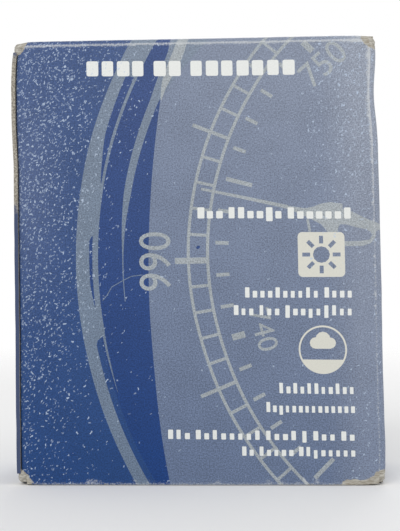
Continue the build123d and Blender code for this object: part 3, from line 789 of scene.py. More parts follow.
def triangles_of(outline, chain, step):
    """Cuts the outline into triangles along ink boundaries and creases. Gives points and triangles."""
    low, high = outline.min(axis=0), outline.max(axis=0)
    rim = subdivided(outline, step)
    points, edges = list(rim), [(i, (i + 1) % len(rim)) for i in range(len(rim))]
    for _, art in shapes:
        near = np.all((art.max(axis=1) >= low) & (art.min(axis=1) <= high), axis=1)
        for a, b in art[near]:
            edges.append((len(points), len(points) + 1))
            points += [a, b]
    axis, lines = crease_lines(chain)
    for line in lines:
        if low[axis] + TOUCHING < line < high[axis] - TOUCHING:
            a, b = low.copy(), high.copy()
            a[axis] = b[axis] = line
            line_points = divided(a, b, 1.2) + [b]
            edges += [(len(points) + k, len(points) + k + 1) for k in range(len(line_points) - 1)]
            points += line_points
    random.seed(len(points))
    for gx in np.arange(low[0] + step / 2, high[0], step):
        for gy in np.arange(low[1] + step / 2, high[1], step):
            jitter = [random.uniform(-0.3, 0.3) * step for _ in "xy"]
            points.append(np.array([gx + jitter[0], gy + jitter[1]]))
    made = geometry.delaunay_2d_cdt([Vector(p) for p in points], edges, [], 0, 1e-5, False)
    flat_points = np.array([tuple(p) for p in made[0]])
    faces = np.array([f for f in made[2] if len(f) == 3])
    faces = faces[inside(flat_points[faces].mean(axis=1), segments(outline))]
    used, faces = np.unique(faces, return_inverse=True)
    return flat_points[used], faces.reshape(-1, 3)


def inks_at(middles):
    """The topmost ink at each point of the blank."""
    ink = np.full(len(middles), EDGE_BLUE)
    for colour, art in shapes:
        ink[inside(middles, art)] = colour
    return ink


print("a chain bends at", len(crease_lines("tube")[1]), "lines round the tube")

# %% [markdown]
# ## Sheets
# The triangles are folded and warped, and get the board's thickness, with a plain inside and raw cut edges.
# Every point keeps its wear and its place on the blank, and every printed corner keeps its ink.


# %% Sheets of board
def activate(obj):
    """Makes this the only selected object, and the active one."""
    for other in bpy.context.selected_objects:
        other.select_set(False)
    obj.select_set(True)
    bpy.context.view_layer.objects.active = obj


def note(mesh, label, kind, domain, key, values):
    """Keeps values on the mesh's points or corners for its materials to read."""
    mesh.attributes.new(label, kind, domain).data.foreach_set(key, values.astype(np.float32).ravel())


def board_sheet(name, chain, outline, step=2.0, stiff=(0.0, HEIGHT), thick=BOARD):
    """One piece of printed board, folded and worn, as an object with three materials.

    A tuck flap is stiff: it moves as the board does between the two heights given.
    """
    outline = np.asarray(outline, float)
    flat_points, faces = triangles_of(outline, chain, step)
    u, v = flat_points.T
    place, normal = folded(chain, u, v)
    corners = place[faces]
    facing = np.cross(corners[:, 1] - corners[:, 0], corners[:, 2] - corners[:, 0])
    backwards = (facing * normal[faces[:, 0]]).sum(axis=1) < 0
    faces[backwards] = faces[backwards][:, ::-1]
    sides = np.concatenate([faces[:, [0, 1]], faces[:, [1, 2]], faces[:, [2, 0]]])
    known = {tuple(s) for s in sides.tolist()}
    rim = np.array([s for s in sides.tolist() if (s[1], s[0]) not in known])
    n = len(place)
    solid = np.concatenate([place, place - normal * thick])
    held = np.column_stack([place[:, :2], place[:, 2].clip(*stiff)])
    solid = solid + np.concatenate([warped(held)] * 2)
    polygons = faces.tolist() + (faces[:, ::-1] + n).tolist()
    polygons += [[b, a, a + n, b + n] for a, b in rim.tolist()]
    mesh = bpy.data.meshes.new(name)
    mesh.from_pydata((solid * MM).tolist(), [], polygons)
    index = np.repeat([0, 1, 2], [len(faces), len(faces), len(rim)])
    for material in (PRINTED, UNPRINTED, CUT_EDGE):
        mesh.materials.append(material)
    mesh.polygons.foreach_set("material_index", index.astype(np.int32))
    rubbed, bare, flecks_and_sheen = wear_fields(place, u, v)
    clean = 1 - smooth_step(266, 269, u) * (1 - np.exp(-(((v - 93) / 20) ** 4)))
    for label, values in (("rubbed", rubbed), ("bare", bare), ("flecks_and_sheen", flecks_and_sheen), ("clean", clean)):
        note(mesh, label, "FLOAT", "POINT", "value", np.tile(values, 2))
    blank = np.stack([u, v, np.zeros(n)], axis=1)
    blank = np.concatenate([blank, blank + np.array([0, 0, BOARD])])
    note(mesh, "blank", "FLOAT_VECTOR", "POINT", "vector", blank)
    middles = flat_points[faces].mean(axis=1)
    colours = np.ones((len(mesh.loops), 4))
    # the printed colours, paled towards the top by fading and painted light from above, with a painted sheen
    # on the left fold
    colours[: 3 * len(faces), :3] = np.repeat(faded_and_lit(inks_at(middles), *middles.T), 3, axis=0)
    note(mesh, "ink", "FLOAT_COLOR", "CORNER", "color", colours)
    obj = bpy.data.objects.new(name, mesh)
    bpy.context.scene.collection.objects.link(obj)
    activate(obj)
    bpy.ops.object.shade_smooth_by_angle(angle=math.radians(35))
    print(name, len(mesh.polygons), "faces")
    return obj


# %% [markdown]
# ## Shared surface effects
# Print grain, flecks, rubbed edges and board fibres show up on more than one material, so each is a group
# of nodes with named inputs. They read the place on the blank in millimetres, which follows the board round
# its folds.


# %% Node helpers
def start_group(name, inputs, outputs):
    """A new shader group with its sockets, and its input and output nodes."""
    group = bpy.data.node_groups.new(name, "ShaderNodeTree")
    kinds = {"vector": "NodeSocketVector", "value": "NodeSocketFloat", "colour": "NodeSocketColor"}
    for label, kind in inputs:
        group.interface.new_socket(label, in_out="INPUT", socket_type=kinds[kind])
    for label, kind in outputs:
        group.interface.new_socket(label, in_out="OUTPUT", socket_type=kinds[kind])
    return group, group.nodes.new("NodeGroupInput"), group.nodes.new("NodeGroupOutput")


def connect(tree, value, socket):
    """Links an output to an input, or sets the input to a plain value."""
    if isinstance(value, bpy.types.NodeSocket):
        tree.links.new(value, socket)
    else:
        socket.default_value = value


def add_node(tree, kind, settings=(), **inputs):
    """A new node with its settings and inputs. i0 is the first input, and a _ stands for a space."""
    node = tree.nodes.new(kind)
    for key, value in dict(settings).items():
        setattr(node, key, value)
    for key, value in inputs.items():
        numbered = key[0] == "i" and key[1:].isdigit()
        connect(tree, value, node.inputs[int(key[1:]) if numbered else key.replace("_", " ")])
    return node


def maths(tree, operation, a, b=0.0):
    return add_node(tree, "ShaderNodeMath", {"operation": operation}, i0=a, i1=b).outputs[0]


def ramp(tree, value, low, high, to_low=0.0, to_high=1.0):
    """A smooth step of a value from low to high."""
    ends = {"From_Min": low, "From_Max": high, "To_Min": to_low, "To_Max": to_high}
    smooth = {"interpolation_type": "SMOOTHSTEP"}
    return add_node(tree, "ShaderNodeMapRange", smooth, Value=value, **ends).outputs[0]


def noise_at(tree, place, scale, detail=2.0, roughness=0.5):
    inputs = {"Vector": place, "Scale": scale, "Detail": detail, "Roughness": roughness}
    return add_node(tree, "ShaderNodeTexNoise", **inputs).outputs["Fac"]


def mixed(tree, amount, a, b):
    return add_node(tree, "ShaderNodeMix", {"data_type": "RGBA"}, i0=amount, i6=a, i7=b).outputs[2]


def colour4(rgb):
    return (*[float(c) for c in rgb], 1.0)


print("node helpers ready")

# %% [markdown]
# ## Print grain
# Fine noise makes the ink uneven, as on rough board. A much larger noise makes whole areas a little darker
# or lighter.

# %% Grain group
grain_group, given, result = start_group(
    "Print grain", [("Place", "vector")], [("Shade", "value"), ("Height", "value")]
)
speck = noise_at(grain_group, given.outputs[0], 2.7, 3.0, 0.8)
cloudy = noise_at(grain_group, given.outputs[0], 0.09, 3.0)
fine_shade = ramp(grain_group, speck, 0.34, 0.66, 0.66, 1.34)
broad_shade = ramp(grain_group, cloudy, 0.3, 0.7, -0.045, 0.045)
connect(grain_group, maths(grain_group, "ADD", fine_shade, broad_shade), result.inputs["Shade"])
connect(grain_group, speck, result.inputs["Height"])
print("grain group has", len(grain_group.nodes), "nodes")

# %% [markdown]
# ## Flecks
# Flecks are short slanting cells of a Voronoi pattern. Each cell has a random value, and it shows as a fleck
# where that value is under the density of its place.

# %% Fleck group
fleck_group, given, result = start_group(
    "Flecks", [("Place", "vector"), ("Density", "value")], [("Mask", "value")]
)
place = given.outputs["Place"]
drift = add_node(fleck_group, "ShaderNodeTexNoise", Vector=place, Scale=0.9, Detail=1.0).outputs["Color"]
shift = {"operation": "MULTIPLY_ADD"}
bent = add_node(fleck_group, "ShaderNodeVectorMath", shift, i0=drift, i1=(1.6, 1.6, 0.0), i2=place)
slant = {"Rotation": (0, 0, math.radians(52)), "Scale": (1.9, 1.0, 1.0)}
squeezed = add_node(
    fleck_group, "ShaderNodeMapping", {"vector_type": "TEXTURE"}, Vector=bent.outputs[0], **slant
)
cell_size = {"Scale": 2.3, "Randomness": 1.0}
cells = add_node(
    fleck_group, "ShaderNodeTexVoronoi", {"feature": "F1"}, Vector=squeezed.outputs[0], **cell_size
)
spread = add_node(fleck_group, "ShaderNodeSeparateColor", Color=cells.outputs["Color"])
chosen = maths(fleck_group, "LESS_THAN", spread.outputs[0], given.outputs["Density"])
spot = ramp(fleck_group, cells.outputs["Distance"], 0.42, 0.22)
strength = ramp(fleck_group, spread.outputs[1], 0.0, 1.0, 0.45, 1.0)
fleck = maths(fleck_group, "MULTIPLY", maths(fleck_group, "MULTIPLY", chosen, spot), strength)
connect(fleck_group, fleck, result.inputs["Mask"])
print("fleck group has", len(fleck_group.nodes), "nodes")

# %% [markdown]
# ## Edge wear
# Noise breaks up both kinds of wear, so that a rubbed line and a bare patch have ragged edges.

# %% Edge wear group
wear_group, given, result = start_group(
    "Edge wear",
    [("Place", "vector"), ("Rubbed", "value"), ("Bare", "value")],
    [("Scuff", "value"), ("Board", "value")],
)
rough_noise = noise_at(wear_group, given.outputs["Place"], 0.8, 5.0, 0.7)
fine_noise = noise_at(wear_group, given.outputs["Place"], 2.4, 3.0, 0.6)
rubbing = maths(wear_group, "ADD", given.outputs["Rubbed"], maths(wear_group, "MULTIPLY", fine_noise, 1.1))
connect(wear_group, ramp(wear_group, rubbing, 1.02, 1.45), result.inputs["Scuff"])
baring = maths(wear_group, "ADD", given.outputs["Bare"], maths(wear_group, "MULTIPLY", rough_noise, 0.9))
connect(wear_group, ramp(wear_group, baring, 0.98, 1.08), result.inputs["Board"])
print("edge wear group has", len(wear_group.nodes), "nodes")

# %% [markdown]
# ## Board fibres
# Stretched noise between a pale and a dark colour looks like the short fibres of pulp board.

# %% Fibre group
fibre_group, given, result = start_group(
    "Board fibres",
    [("Place", "vector"), ("Pale", "colour"), ("Dark", "colour")],
    [("Color", "colour"), ("Height", "value")],
)
long_way = add_node(
    fibre_group,
    "ShaderNodeMapping",
    {"vector_type": "POINT"},
    Vector=given.outputs["Place"],
    Scale=(0.35, 1.3, 1.3),
)
threads = noise_at(fibre_group, long_way.outputs[0], 1.6, 4.0, 0.65)
amount = ramp(fibre_group, threads, 0.36, 0.66)
fibre_colour = mixed(fibre_group, amount, given.outputs["Dark"], given.outputs["Pale"])
connect(fibre_group, fibre_colour, result.inputs["Color"])
connect(fibre_group, threads, result.inputs["Height"])
print(len(bpy.data.node_groups), "node groups")

# %% [markdown]
# ## Material helpers
# Plain board is used in four places, so one function makes it. Its fibres follow the blank on the carton's
# own sheets, and the object's own shape on everything else.


# %% Material helpers
def start_material(name, roughness=0.5, metallic=0.0):
    material = bpy.data.materials.new(name)
    material.use_nodes = True
    shader = material.node_tree.nodes["Principled BSDF"]
    shader.inputs["Roughness"].default_value = roughness
    shader.inputs["Metallic"].default_value = metallic
    return material, material.node_tree, shader


def use_group(tree, group, **inputs):
    return add_node(tree, "ShaderNodeGroup", {"node_tree": group}, **inputs)


def fibres_at(tree, place, pale, dark):
    return use_group(tree, fibre_group, Place=place, Pale=colour4(pale), Dark=colour4(dark))


def bump(tree, shader, height, distance, strength=0.5):
    node = add_node(tree, "ShaderNodeBump", Height=height, Strength=strength, Distance=distance)
    connect(tree, node.outputs[0], shader.inputs["Normal"])


def attribute(tree, name, output="Fac"):
    return add_node(tree, "ShaderNodeAttribute", {"attribute_name": name}).outputs[output]


def object_place(tree):
    return add_node(tree, "ShaderNodeTexCoord").outputs["Object"]


def plain_board(name, pale, dark, roughness, depth, on_blank=False):
    """Board with fibres between a pale and a dark colour, as deep as given."""
    material, tree, shader = start_material(name, roughness)
    if on_blank:
        place = attribute(tree, "blank", "Vector")
    else:
        scaled = add_node(
            tree, "ShaderNodeVectorMath", {"operation": "SCALE"}, i0=object_place(tree), Scale=1 / MM
        )
        place = scaled.outputs[0]
    fibres = fibres_at(tree, place, pale, dark)
    connect(tree, fibres.outputs["Color"], shader.inputs["Base Color"])
    bump(tree, shader, fibres.outputs["Height"], depth)
    return material


print("material helpers ready")

# %% [markdown]
# ## The printed face
# It starts from the ink of its triangle, which already carries the paling towards the top (partly fading,
# partly painted light from above) and a painted sheen on the left fold. Grain darkens and lightens it, flecks
# and scuffs turn it pale, and where the surface is gone the grey board shows. The flecks lay a further
# painted sheen along the left fold. Bare paper takes no ink, so it hardly shows the grain.

# %% Printed face
PRINTED, tree, shader = start_material("Printed board", roughness=0.42)
shader.inputs["Specular IOR Level"].default_value = 0.22
place = attribute(tree, "blank", "Vector")
grain = use_group(tree, grain_group, Place=place)
flecks_and_sheen = use_group(tree, fleck_group, Place=place, Density=attribute(tree, "flecks_and_sheen"))
rubbed, bare = attribute(tree, "rubbed"), attribute(tree, "bare")
wear = use_group(tree, wear_group, Place=place, Rubbed=rubbed, Bare=bare)
ink_and_painted_light = attribute(tree, "ink", "Color")
paleness = add_node(tree, "ShaderNodeRGBToBW", Color=ink_and_painted_light).outputs[0]
inked = ramp(tree, paleness, 0.36, 0.6, 1.0, 0.12)
shade = maths(tree, "MULTIPLY", maths(tree, "SUBTRACT", grain.outputs["Shade"], 1.0), inked)
shade = maths(tree, "ADD", shade, 1.0)
grained = add_node(tree, "ShaderNodeVectorMath", {"operation": "SCALE"}, i0=ink_and_painted_light, Scale=shade)
fleck_amount = maths(tree, "MULTIPLY", flecks_and_sheen.outputs["Mask"], 0.85)
flecked = mixed(tree, fleck_amount, grained.outputs[0], colour4(srgb(184, 199, 219)))
scuff_amount = maths(tree, "MULTIPLY", wear.outputs["Scuff"], 0.62)
scuffed = mixed(tree, scuff_amount, flecked, colour4(srgb(208, 211, 212)))
bare_fibres = fibres_at(tree, place, srgb(187, 184, 174), srgb(150, 143, 130))
worn_colour = mixed(tree, wear.outputs["Board"], scuffed, bare_fibres.outputs["Color"])
connect(tree, worn_colour, shader.inputs["Base Color"])
connect(tree, ramp(tree, wear.outputs["Board"], 0, 1, 0.42, 0.85), shader.inputs["Roughness"])
bump(tree, shader, grain.outputs["Height"], 0.00006, 0.35)
print("printed face has", len(tree.nodes), "nodes")

# %% [markdown]
# ## Inside and cut edge
# The inside is unprinted grey board. A cut edge shows the pale core, and parts of the seam's edge are stained
# with ink.

# %% Inside and cut edge
UNPRINTED = plain_board("Unprinted board", srgb(190, 184, 170), srgb(158, 151, 137), 0.9, 0.0001, True)

CUT_EDGE, tree, shader = start_material("Cut board edge", roughness=0.95)
place = attribute(tree, "blank", "Vector")
fibres = fibres_at(tree, place, srgb(183, 178, 165), srgb(120, 113, 102))
clean = maths(tree, "MULTIPLY_ADD", noise_at(tree, place, 0.5, 3.0), 0.5)
connect(tree, attribute(tree, "clean"), clean.node.inputs[2])
edge_colour = mixed(tree, ramp(tree, clean, 0.45, 0.75), colour4(srgb(66, 78, 108)), fibres.outputs["Color"])
connect(tree, edge_colour, shader.inputs["Base Color"])
bump(tree, shader, fibres.outputs["Height"], 0.0002)
print("board materials made")

# %% [markdown]
# ## The tube
# Four panels and the glue flap make the tube. The corner creases belong to the back and the front, and one
# more to the glue flap, as on the real blank, where nothing is cut between them.


# %% Panels
def piece(name, node, body, chain, outline, **how):
    """A sheet of board that stands for its CAD node and rides on a body."""
    sheet = board_sheet(f"{name}_board", chain, outline, **how)
    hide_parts(node)
    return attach(sheet, body)


back = [(BACK_U, 0), (BACK_END, 0), (BACK_END, SIDE_BOTTOM), (RIGHT_U, SIDE_BOTTOM)]
back += [(RIGHT_U, SIDE_TOP), (BACK_END, SIDE_TOP), (BACK_END, BACK_TOP), (BACK_U, BACK_TOP)]
piece("back_panel", "back_panel", "carton", "tube", back, step=1.6)
front = [(FRONT_U, FRONT_BOTTOM), (FRONT_END, FRONT_BOTTOM), (FRONT_END, SIDE_BOTTOM), (LEFT_U, SIDE_BOTTOM)]
front += [(LEFT_U, SIDE_TOP), (FRONT_END, SIDE_TOP), (FRONT_END, HEIGHT), (FRONT_U, HEIGHT)]
front += [(FRONT_U, SIDE_TOP), (FRONT_START, SIDE_TOP), (FRONT_START, SIDE_BOTTOM), (FRONT_U, SIDE_BOTTOM)]
piece("front_panel", "front_panel", "carton", "tube", front)
right_side = box(RIGHT_U, SIDE_BOTTOM, FRONT_START, SIDE_TOP)
piece("right_side_panel", "right_side_panel", "carton", "tube", right_side)
left_side = box(LEFT_U, SIDE_BOTTOM, LEFT_END, SIDE_TOP)
piece("left_side_panel", "left_side_panel", "carton", "tube", left_side)
seam_u = BACK_U - CREASE_ARC
glue = [(BACK_U, SIDE_BOTTOM), (BACK_U, SIDE_TOP), (seam_u, SIDE_TOP)]
glue += [(seam_u - GLUE_WIDTH, SIDE_TOP - GLUE_TAPER), (seam_u - GLUE_WIDTH, SIDE_BOTTOM + GLUE_TAPER)]
glue += [(seam_u, SIDE_BOTTOM)]
piece("glue_flap", "glue_flap", "carton", "seam", glue)

# %% [markdown]
# ## Flaps
# Each end has a lid that hinges on a long panel, with a tuck flap at its free edge, and two dust flaps from
# the sides. The flat parts ride on their own bodies. Each crease is a strip of its own, bent as it lies at
# rest between the two bodies it joins.


# %% Rounded corners and moving creases
def rounded(points, radii):
    """An outline with some corners rounded: a radius of 0 leaves the corner sharp."""
    points, out = [np.array(p, float) for p in points], []
    for i, (p, radius) in enumerate(zip(points, radii)):
        if radius == 0:
            out.append(p)
            continue
        before, after = points[i - 1] - p, points[(i + 1) % len(points)] - p
        before, after = before / np.linalg.norm(before), after / np.linalg.norm(after)
        half = math.acos(np.clip(before @ after, -1, 1)) / 2
        reach = radius / math.tan(half)
        centre = p + (before + after) / np.linalg.norm(before + after) * radius / math.sin(half)
        a, b = p + before * reach - centre, p + after * reach - centre
        for k in range(7):
            d = a * (1 - k / 6) + b * k / 6
            out.append(centre + d / np.linalg.norm(d) * radius)
    return np.array(out)


def moving_crease(name, chain, outline):
    """A strip of bent board, with its place baked into its points."""
    strip = board_sheet(name, chain, outline)
    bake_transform(strip)
    return strip


# %% [markdown]
# ## Lid and tuck flap
# The tuck flap's board is pressed thinner than the rest, so that it stays clear of its lid when both are
# folded back.

# %% Lid and tuck flap
TUCK_BOARD, TUCK_CORNER = 0.65 * BOARD, 8.0


def lid_and_tuck(end, edge_v, way):
    """One end's lid and tuck flap, with their two creases."""
    middle_u = WIDTH / 2 if end == "top" else FRONT_U + FLAT_X
    lid, tuck = f"{end}_lid", f"{end}_tuck"
    lid_end = CREASE_ARC + LID_LENGTH
    tuck_start = lid_end + CREASE_ARC
    tuck_end = tuck_start + TUCK_LENGTH
    heights = (BACK_TOP, HEIGHT) if end == "top" else (0.0, FRONT_BOTTOM)

    def across(half, s0, s1, corner=0):
        """An outline that reaches as far as half each way, and from s0 to s1 along the fold."""
        corners = [(-half, s0), (half, s0), (half, s1), (-half, s1)]
        return rounded([(middle_u + t, edge_v + way * s) for t, s in corners], (0, 0, corner, corner))

    piece(lid, lid, lid, end, across(LID_HALF, CREASE_ARC, lid_end))
    tuck_outline = across(TUCK_HALF, tuck_start, tuck_end, TUCK_CORNER)
    piece(tuck, f"{end}_tuck_flap", tuck, end, tuck_outline, stiff=heights, thick=TUCK_BOARD)
    moving_crease(
        f"{end}_lid_crease",
        end,
        across(FLAT_X, 0, CREASE_ARC),
    )
    moving_crease(
        f"{end}_tuck_crease",
        end,
        across(TUCK_HALF, lid_end, tuck_start),
    )


print("tuck flap", round(TUCK_LENGTH, 1), "mm long and", round(TUCK_BOARD, 2), "mm thick")

# %% [markdown]
# ## Dust flaps
# A dust flap is narrower at its tip, and slants more on the side where the lid hinges. All four have the
# same outline, turned for their place.

# %% Dust flaps
DUST_CORNER = 3.0
DUST_ROOT = [corner[1] for corner in node_box("top_dust_flap_left")]
DUST_TIP = (DUST_ROOT[0] + DUST_TAPERS[0], DUST_ROOT[1] - DUST_TAPERS[1])


def dust_flap(end, side, sign, way):
    """One dust flap and the crease it hangs on."""
    body = f"{end}_dust_{side}"
    root_v = SIDE_TOP if end == "top" else SIDE_BOTTOM
    side_u = RIGHT_U + FLAT_Y if side == "right" else LEFT_U + FLAT_Y

    def at(y, s):
        """The blank point that lies y across the flap and s along its fold."""
        return side_u + sign * way * y, root_v + way * s

    near, far = DUST_ROOT
    tip = CREASE_ARC + DUST_LENGTH
    outline = [at(near, CREASE_ARC), at(far, CREASE_ARC), at(DUST_TIP[1], tip), at(DUST_TIP[0], tip)]
    outline = rounded(outline, (0, 0, DUST_CORNER, DUST_CORNER))
    piece(body, f"{end}_dust_flap_{side}", body, f"{end}_{side}", outline)
    moving_crease(
        f"{body}_crease",
        f"{end}_{side}",
        [at(near, 0), at(far, 0), at(far, CREASE_ARC), at(near, CREASE_ARC)],
    )


for end, hinge_side, edge_v, way in (("top", -1, BACK_TOP, 1), ("bottom", 1, FRONT_BOTTOM, -1)):
    lid_and_tuck(end, edge_v, way)
    for side, sign in (("left", -1), ("right", 1)):
        dust_flap(end, side, sign, way)

# %% [markdown]
# ## Crushed corners
# Where three creases meet, the blank leaves a small opening, and years of knocks have pushed it into a soft
# nub of bare board. Each nub is a ball, flattened against the three faces and roughened, and it stays on the
# tube when the lid is lifted.


# %% Eight nubs
NUB_R, NUB_HALF, NUB_INSET = 2.1, 1.75, 1.95


def crushed_corner(name, sx, sy, top):
    """A nub of bare board in one corner of the carton."""
    bpy.ops.object.select_all(action="DESELECT")
    bpy.ops.mesh.primitive_ico_sphere_add(subdivisions=4, radius=NUB_R * MM)
    nub = bpy.context.active_object
    nub.name = nub.data.name = name
    points = np.array([v.co for v in nub.data.vertices]) / MM
    up = 1 - 2 * top
    middle = np.array([sx * (HALF_X - NUB_INSET), sy * (HALF_Y - NUB_INSET), HEIGHT * top + NUB_INSET * up])
    points = np.sign(points) * np.abs(points).clip(0, NUB_HALF) + middle
    lumps = [noise.noise_vector(Vector(p) / 0.9) + noise.noise_vector(Vector(p) / 0.35) * 0.5 for p in points]
    points += 0.22 * np.array(lumps) + warped(middle[None]) + np.array([0, 0, 0.25 * up])
    points[:, 2] = points[:, 2].clip(0.02, HEIGHT - 0.15)
    nub.data.vertices.foreach_set("co", (points * MM).ravel())
    nub.data.update()
    bpy.ops.object.shade_smooth()
    nub.data.materials.append(NUB_BOARD)
    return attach(nub, "carton")


NUB_BOARD = plain_board("Crushed board", srgb(196, 193, 184), srgb(150, 145, 134), 0.95, 0.0003)
for sx, sy, top in CORNER_CRUSH:
    side = ("left", "middle", "right")[sx + 1]
    face = ("back", "middle", "front")[sy + 1]
    crushed_corner(f"crushed_corner_{('bottom', 'top')[top]}_{face}_{side}", sx, sy, top)
print(len(CORNER_CRUSH), "crushed corners")

# %% [markdown]
# ## What is inside
# The cradle is the same kind of board, unprinted. The barometer has a black enamelled case, a brass bezel
# and a white dial with black figures. Its movement is brass and steel. The CAD pieces have the right shapes,
# so they only get their materials here, and the dial gets its scale.


# %% Materials of the contents
def plain_material(name, colour, roughness, metallic=0.0):
    material, _, shader = start_material(name, roughness, metallic)
    shader.inputs["Base Color"].default_value = colour4(colour)
    return material


def brushed_material(name, colour, roughness):
    """Metal whose gloss varies a little, as it does on turned or rolled parts."""
    material, tree, shader = start_material(name, roughness, 1.0)
    shader.inputs["Base Color"].default_value = colour4(colour)
    stretched = add_node(tree, "ShaderNodeMapping", Vector=object_place(tree), Scale=(900, 200, 900))
    streaks = noise_at(tree, stretched.outputs[0], 1.0, 3.0)
    gloss = ramp(tree, streaks, 0.3, 0.7, roughness - 0.08, roughness + 0.12)
    connect(tree, gloss, shader.inputs["Roughness"])
    return material


CRADLE_BOARD = plain_board("Cradle board", srgb(214, 209, 197), srgb(188, 181, 166), 0.9, 0.0001)
BRASS = brushed_material("Brass", srgb(214, 178, 110), 0.28)
OLD_BRASS = brushed_material("Movement brass", srgb(196, 164, 104), 0.38)
STEEL = brushed_material("Steel", srgb(168, 170, 174), 0.32)
CAPSULE = brushed_material("Nickel silver", srgb(196, 193, 184), 0.3)
REFLECTOR = brushed_material("Silvered ring", srgb(222, 222, 220), 0.2)
PAPER = plain_material("Leaflet paper", srgb(232, 229, 219), 0.85)
ENAMEL = plain_material("Black enamel", srgb(26, 26, 28), 0.3)
RUBBER = plain_material("Black rubber", srgb(28, 28, 28), 0.8)
DIAL_WHITE = plain_material("Dial paint", srgb(232, 231, 224), 0.6)
HAND_BLACK = plain_material("Blackened hand", srgb(16, 16, 18), 0.35)
GLASS, _, shader = start_material("Clear glass", roughness=0.02)
shader.inputs["Base Color"].default_value = (0.97, 0.99, 0.98, 1)
shader.inputs["Transmission Weight"].default_value = 1.0
shader.inputs["IOR"].default_value = 1.5
print(len(bpy.data.materials), "materials")

# %% [markdown]
# ## Which piece has which finish
# Every CAD piece of the contents gets one of the materials.

# %% Finishes
FINISHES = {
    CRADLE_BOARD: "cradle_deck cradle_back_wall cradle_left_wall cradle_right_wall",
    PAPER: "leaflet",
    ENAMEL: "case_cup",
    BRASS: "bezel marker_knob",
    RUBBER: "glass_gasket",
    GLASS: "cover_glass",
    REFLECTOR: "reflector_ring",
    DIAL_WHITE: "dial_plate",
    HAND_BLACK: "pressure_hand",
    OLD_BRASS: "marker_hand marker_post base_plate capsule_foot bridge_pillars bridge_plate pivot_cock "
    "rocker_lugs dial_posts",
    STEEL: "hand_arbor base_screws capsule_stud main_spring hairspring rocker adjusting_screw",
    CAPSULE: "aneroid_capsule",
}
for material, names in FINISHES.items():
    for node_name in names.split():
        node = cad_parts[node_name]
        node.data.materials.clear()
        node.data.materials.append(material)
print(len(FINISHES), "finishes on the contents")

# %% [markdown]
# ## The barometer's own dial
# The scale is printed on the white plate: an arc of ticks from 960 to 1060 and the figures that go with
# them. Each mark is a thin film just clear of the plate, so that it stays sharp at any distance.

# %% Marks on the dial
dial_low, dial_high = node_box("dial_plate")
METER_Z = (dial_low[2] + dial_high[2]) / 2
DIAL_FACE = dial_high[1] + 0.03
DIAL_TURN, DIAL_STEPS = 260.0, 100
dial_shapes = []
for k in range(DIAL_STEPS + 1):
    angle = 90 + DIAL_TURN / 2 - DIAL_TURN * k / DIAL_STEPS
    inner_r, width = (28.6, 0.45) if k % 10 == 0 else (30.0, 0.3) if k % 5 == 0 else (30.8, 0.18)
    dial_shapes.append(segments(spoke(0, 0, angle, inner_r, 32.4, width)))
    if k % 10 == 0:
        at = math.radians(angle)
        figure = lettering(str(960 + k), 2.6)
        dial_shapes.append(figure + 25.8 * np.array([math.cos(at), math.sin(at)]))
mark_points, mark_faces = [], []
for outline in dial_shapes:
    ends = outline.reshape(-1, 2)
    made = geometry.delaunay_2d_cdt(
        [Vector(p) for p in ends], [(2 * i, 2 * i + 1) for i in range(len(outline))], [], 0, 1e-4, False
    )
    found = np.array([tuple(p) for p in made[0]])
    for face in made[2]:
        if inside(found[list(face)].mean(axis=0)[None], outline)[0]:
            first = len(mark_points)
            mark_points += [(-x * MM, DIAL_FACE * MM, (METER_Z + y) * MM) for x, y in found[list(face)]]
            mark_faces.append([first + i for i in range(len(face))])
mark_mesh = bpy.data.meshes.new("dial_marks")
mark_mesh.from_pydata(mark_points, [], mark_faces)
mark_mesh.materials.append(HAND_BLACK)
dial_marks = bpy.data.objects.new("dial_marks", mark_mesh)
bpy.context.scene.collection.objects.link(dial_marks)
activate(dial_marks)
bpy.ops.object.mode_set(mode="EDIT")
bpy.ops.mesh.select_all(action="SELECT")
bpy.ops.mesh.remove_doubles(threshold=1e-6)
bpy.ops.mesh.normals_make_consistent(inside=False)
bpy.ops.object.mode_set(mode="OBJECT")
if dial_marks.data.polygons[0].normal.y < 0:
    dial_marks.data.flip_normals()
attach(dial_marks, "carton")
print("dial marks", len(mark_mesh.polygons), "faces")

# %% [markdown]
# ## The studio
# A pale floor melts into a white background. A wide soft surround and three large soft lights, the
# strongest above and in front, give it an even light.

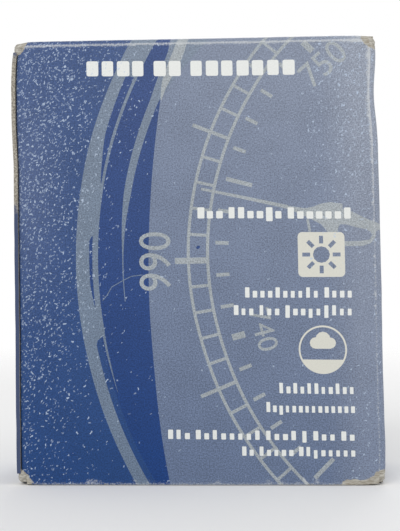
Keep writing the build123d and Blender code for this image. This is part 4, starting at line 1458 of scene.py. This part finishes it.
# %% Floor and light
scene = bpy.context.scene
scene.view_settings.view_transform = "Standard"
bpy.ops.mesh.primitive_circle_add(vertices=96, radius=1.6, fill_type="NGON")
floor = bpy.context.active_object
floor.name = "floor"
floor_material, tree, shader = start_material("Pale floor", roughness=0.9)
shader.inputs["Base Color"].default_value = (0.86, 0.86, 0.86, 1)
shader.inputs["Specular IOR Level"].default_value = 0.1
reach = add_node(tree, "ShaderNodeVectorMath", {"operation": "LENGTH"}, i0=object_place(tree))
away = ramp(tree, reach.outputs["Value"], 0.15, 0.9)
clear = add_node(tree, "ShaderNodeBsdfTransparent")
blend_in = add_node(tree, "ShaderNodeMixShader", i0=away, i1=shader.outputs[0], i2=clear.outputs[0])
connect(tree, blend_in.outputs[0], tree.nodes["Material Output"].inputs["Surface"])
floor.data.materials.append(floor_material)
floor.location.z = -0.0002

world = bpy.data.worlds.new("Studio")
world.use_nodes = True
scene.world = world
tree = world.node_tree
background = tree.nodes["Background"]
background.inputs["Color"].default_value = (1, 1, 1, 1)
seen = add_node(tree, "ShaderNodeLightPath").outputs["Is Camera Ray"]
connect(tree, ramp(tree, seen, 0, 1, 0.62, 1.0), background.inputs["Strength"])


def soft_light(name, place, target, size, power):
    """A square area light that faces its target."""
    data = bpy.data.lights.new(name, "AREA")
    data.size, data.energy = size, power
    light = bpy.data.objects.new(name, data)
    light.location = place
    light.rotation_euler = (Vector(target) - Vector(place)).to_track_quat("-Z", "Y").to_euler()
    scene.collection.objects.link(light)


soft_light("key", (-0.25, -0.75, 0.75), (0, 0, 0.07), 0.6, 4.2)
soft_light("fill", (0.7, -0.3, 0.45), (0, 0, 0.05), 0.5, 1.2)
soft_light("rear", (0.1, 0.8, 0.7), (0, 0, 0.06), 0.6, 2.6)
print(len(bpy.data.lights), "lights")

# %% [markdown]
# ## The camera
# It stands close in front of the large printed face, a little below its middle, and looks almost straight at
# it.

# %% Camera
CAMERA_PLACE = (13.44, -289.14, 47.17)
YAW, PITCH, ROLL = math.radians(-2.66), math.radians(2.06), math.radians(-0.44)
forward = Vector((math.sin(YAW) * math.cos(PITCH), math.cos(YAW) * math.cos(PITCH), math.sin(PITCH)))
level = Vector((math.cos(YAW), -math.sin(YAW), 0))
upright = level.cross(forward)
right = level * math.cos(ROLL) + upright * math.sin(ROLL)
above = right.cross(forward)
camera_data = bpy.data.cameras.new("camera")
camera_data.lens = 70
camera_data.sensor_width = 36
camera = bpy.data.objects.new("camera", camera_data)
turn = Matrix((right, above, -forward)).transposed().to_4x4()
camera.matrix_world = Matrix.Translation([c * MM for c in CAMERA_PLACE]) @ turn
scene.collection.objects.link(camera)
scene.camera = camera
print("camera", round(camera.matrix_world.translation.length, 2), "m from the carton's foot")
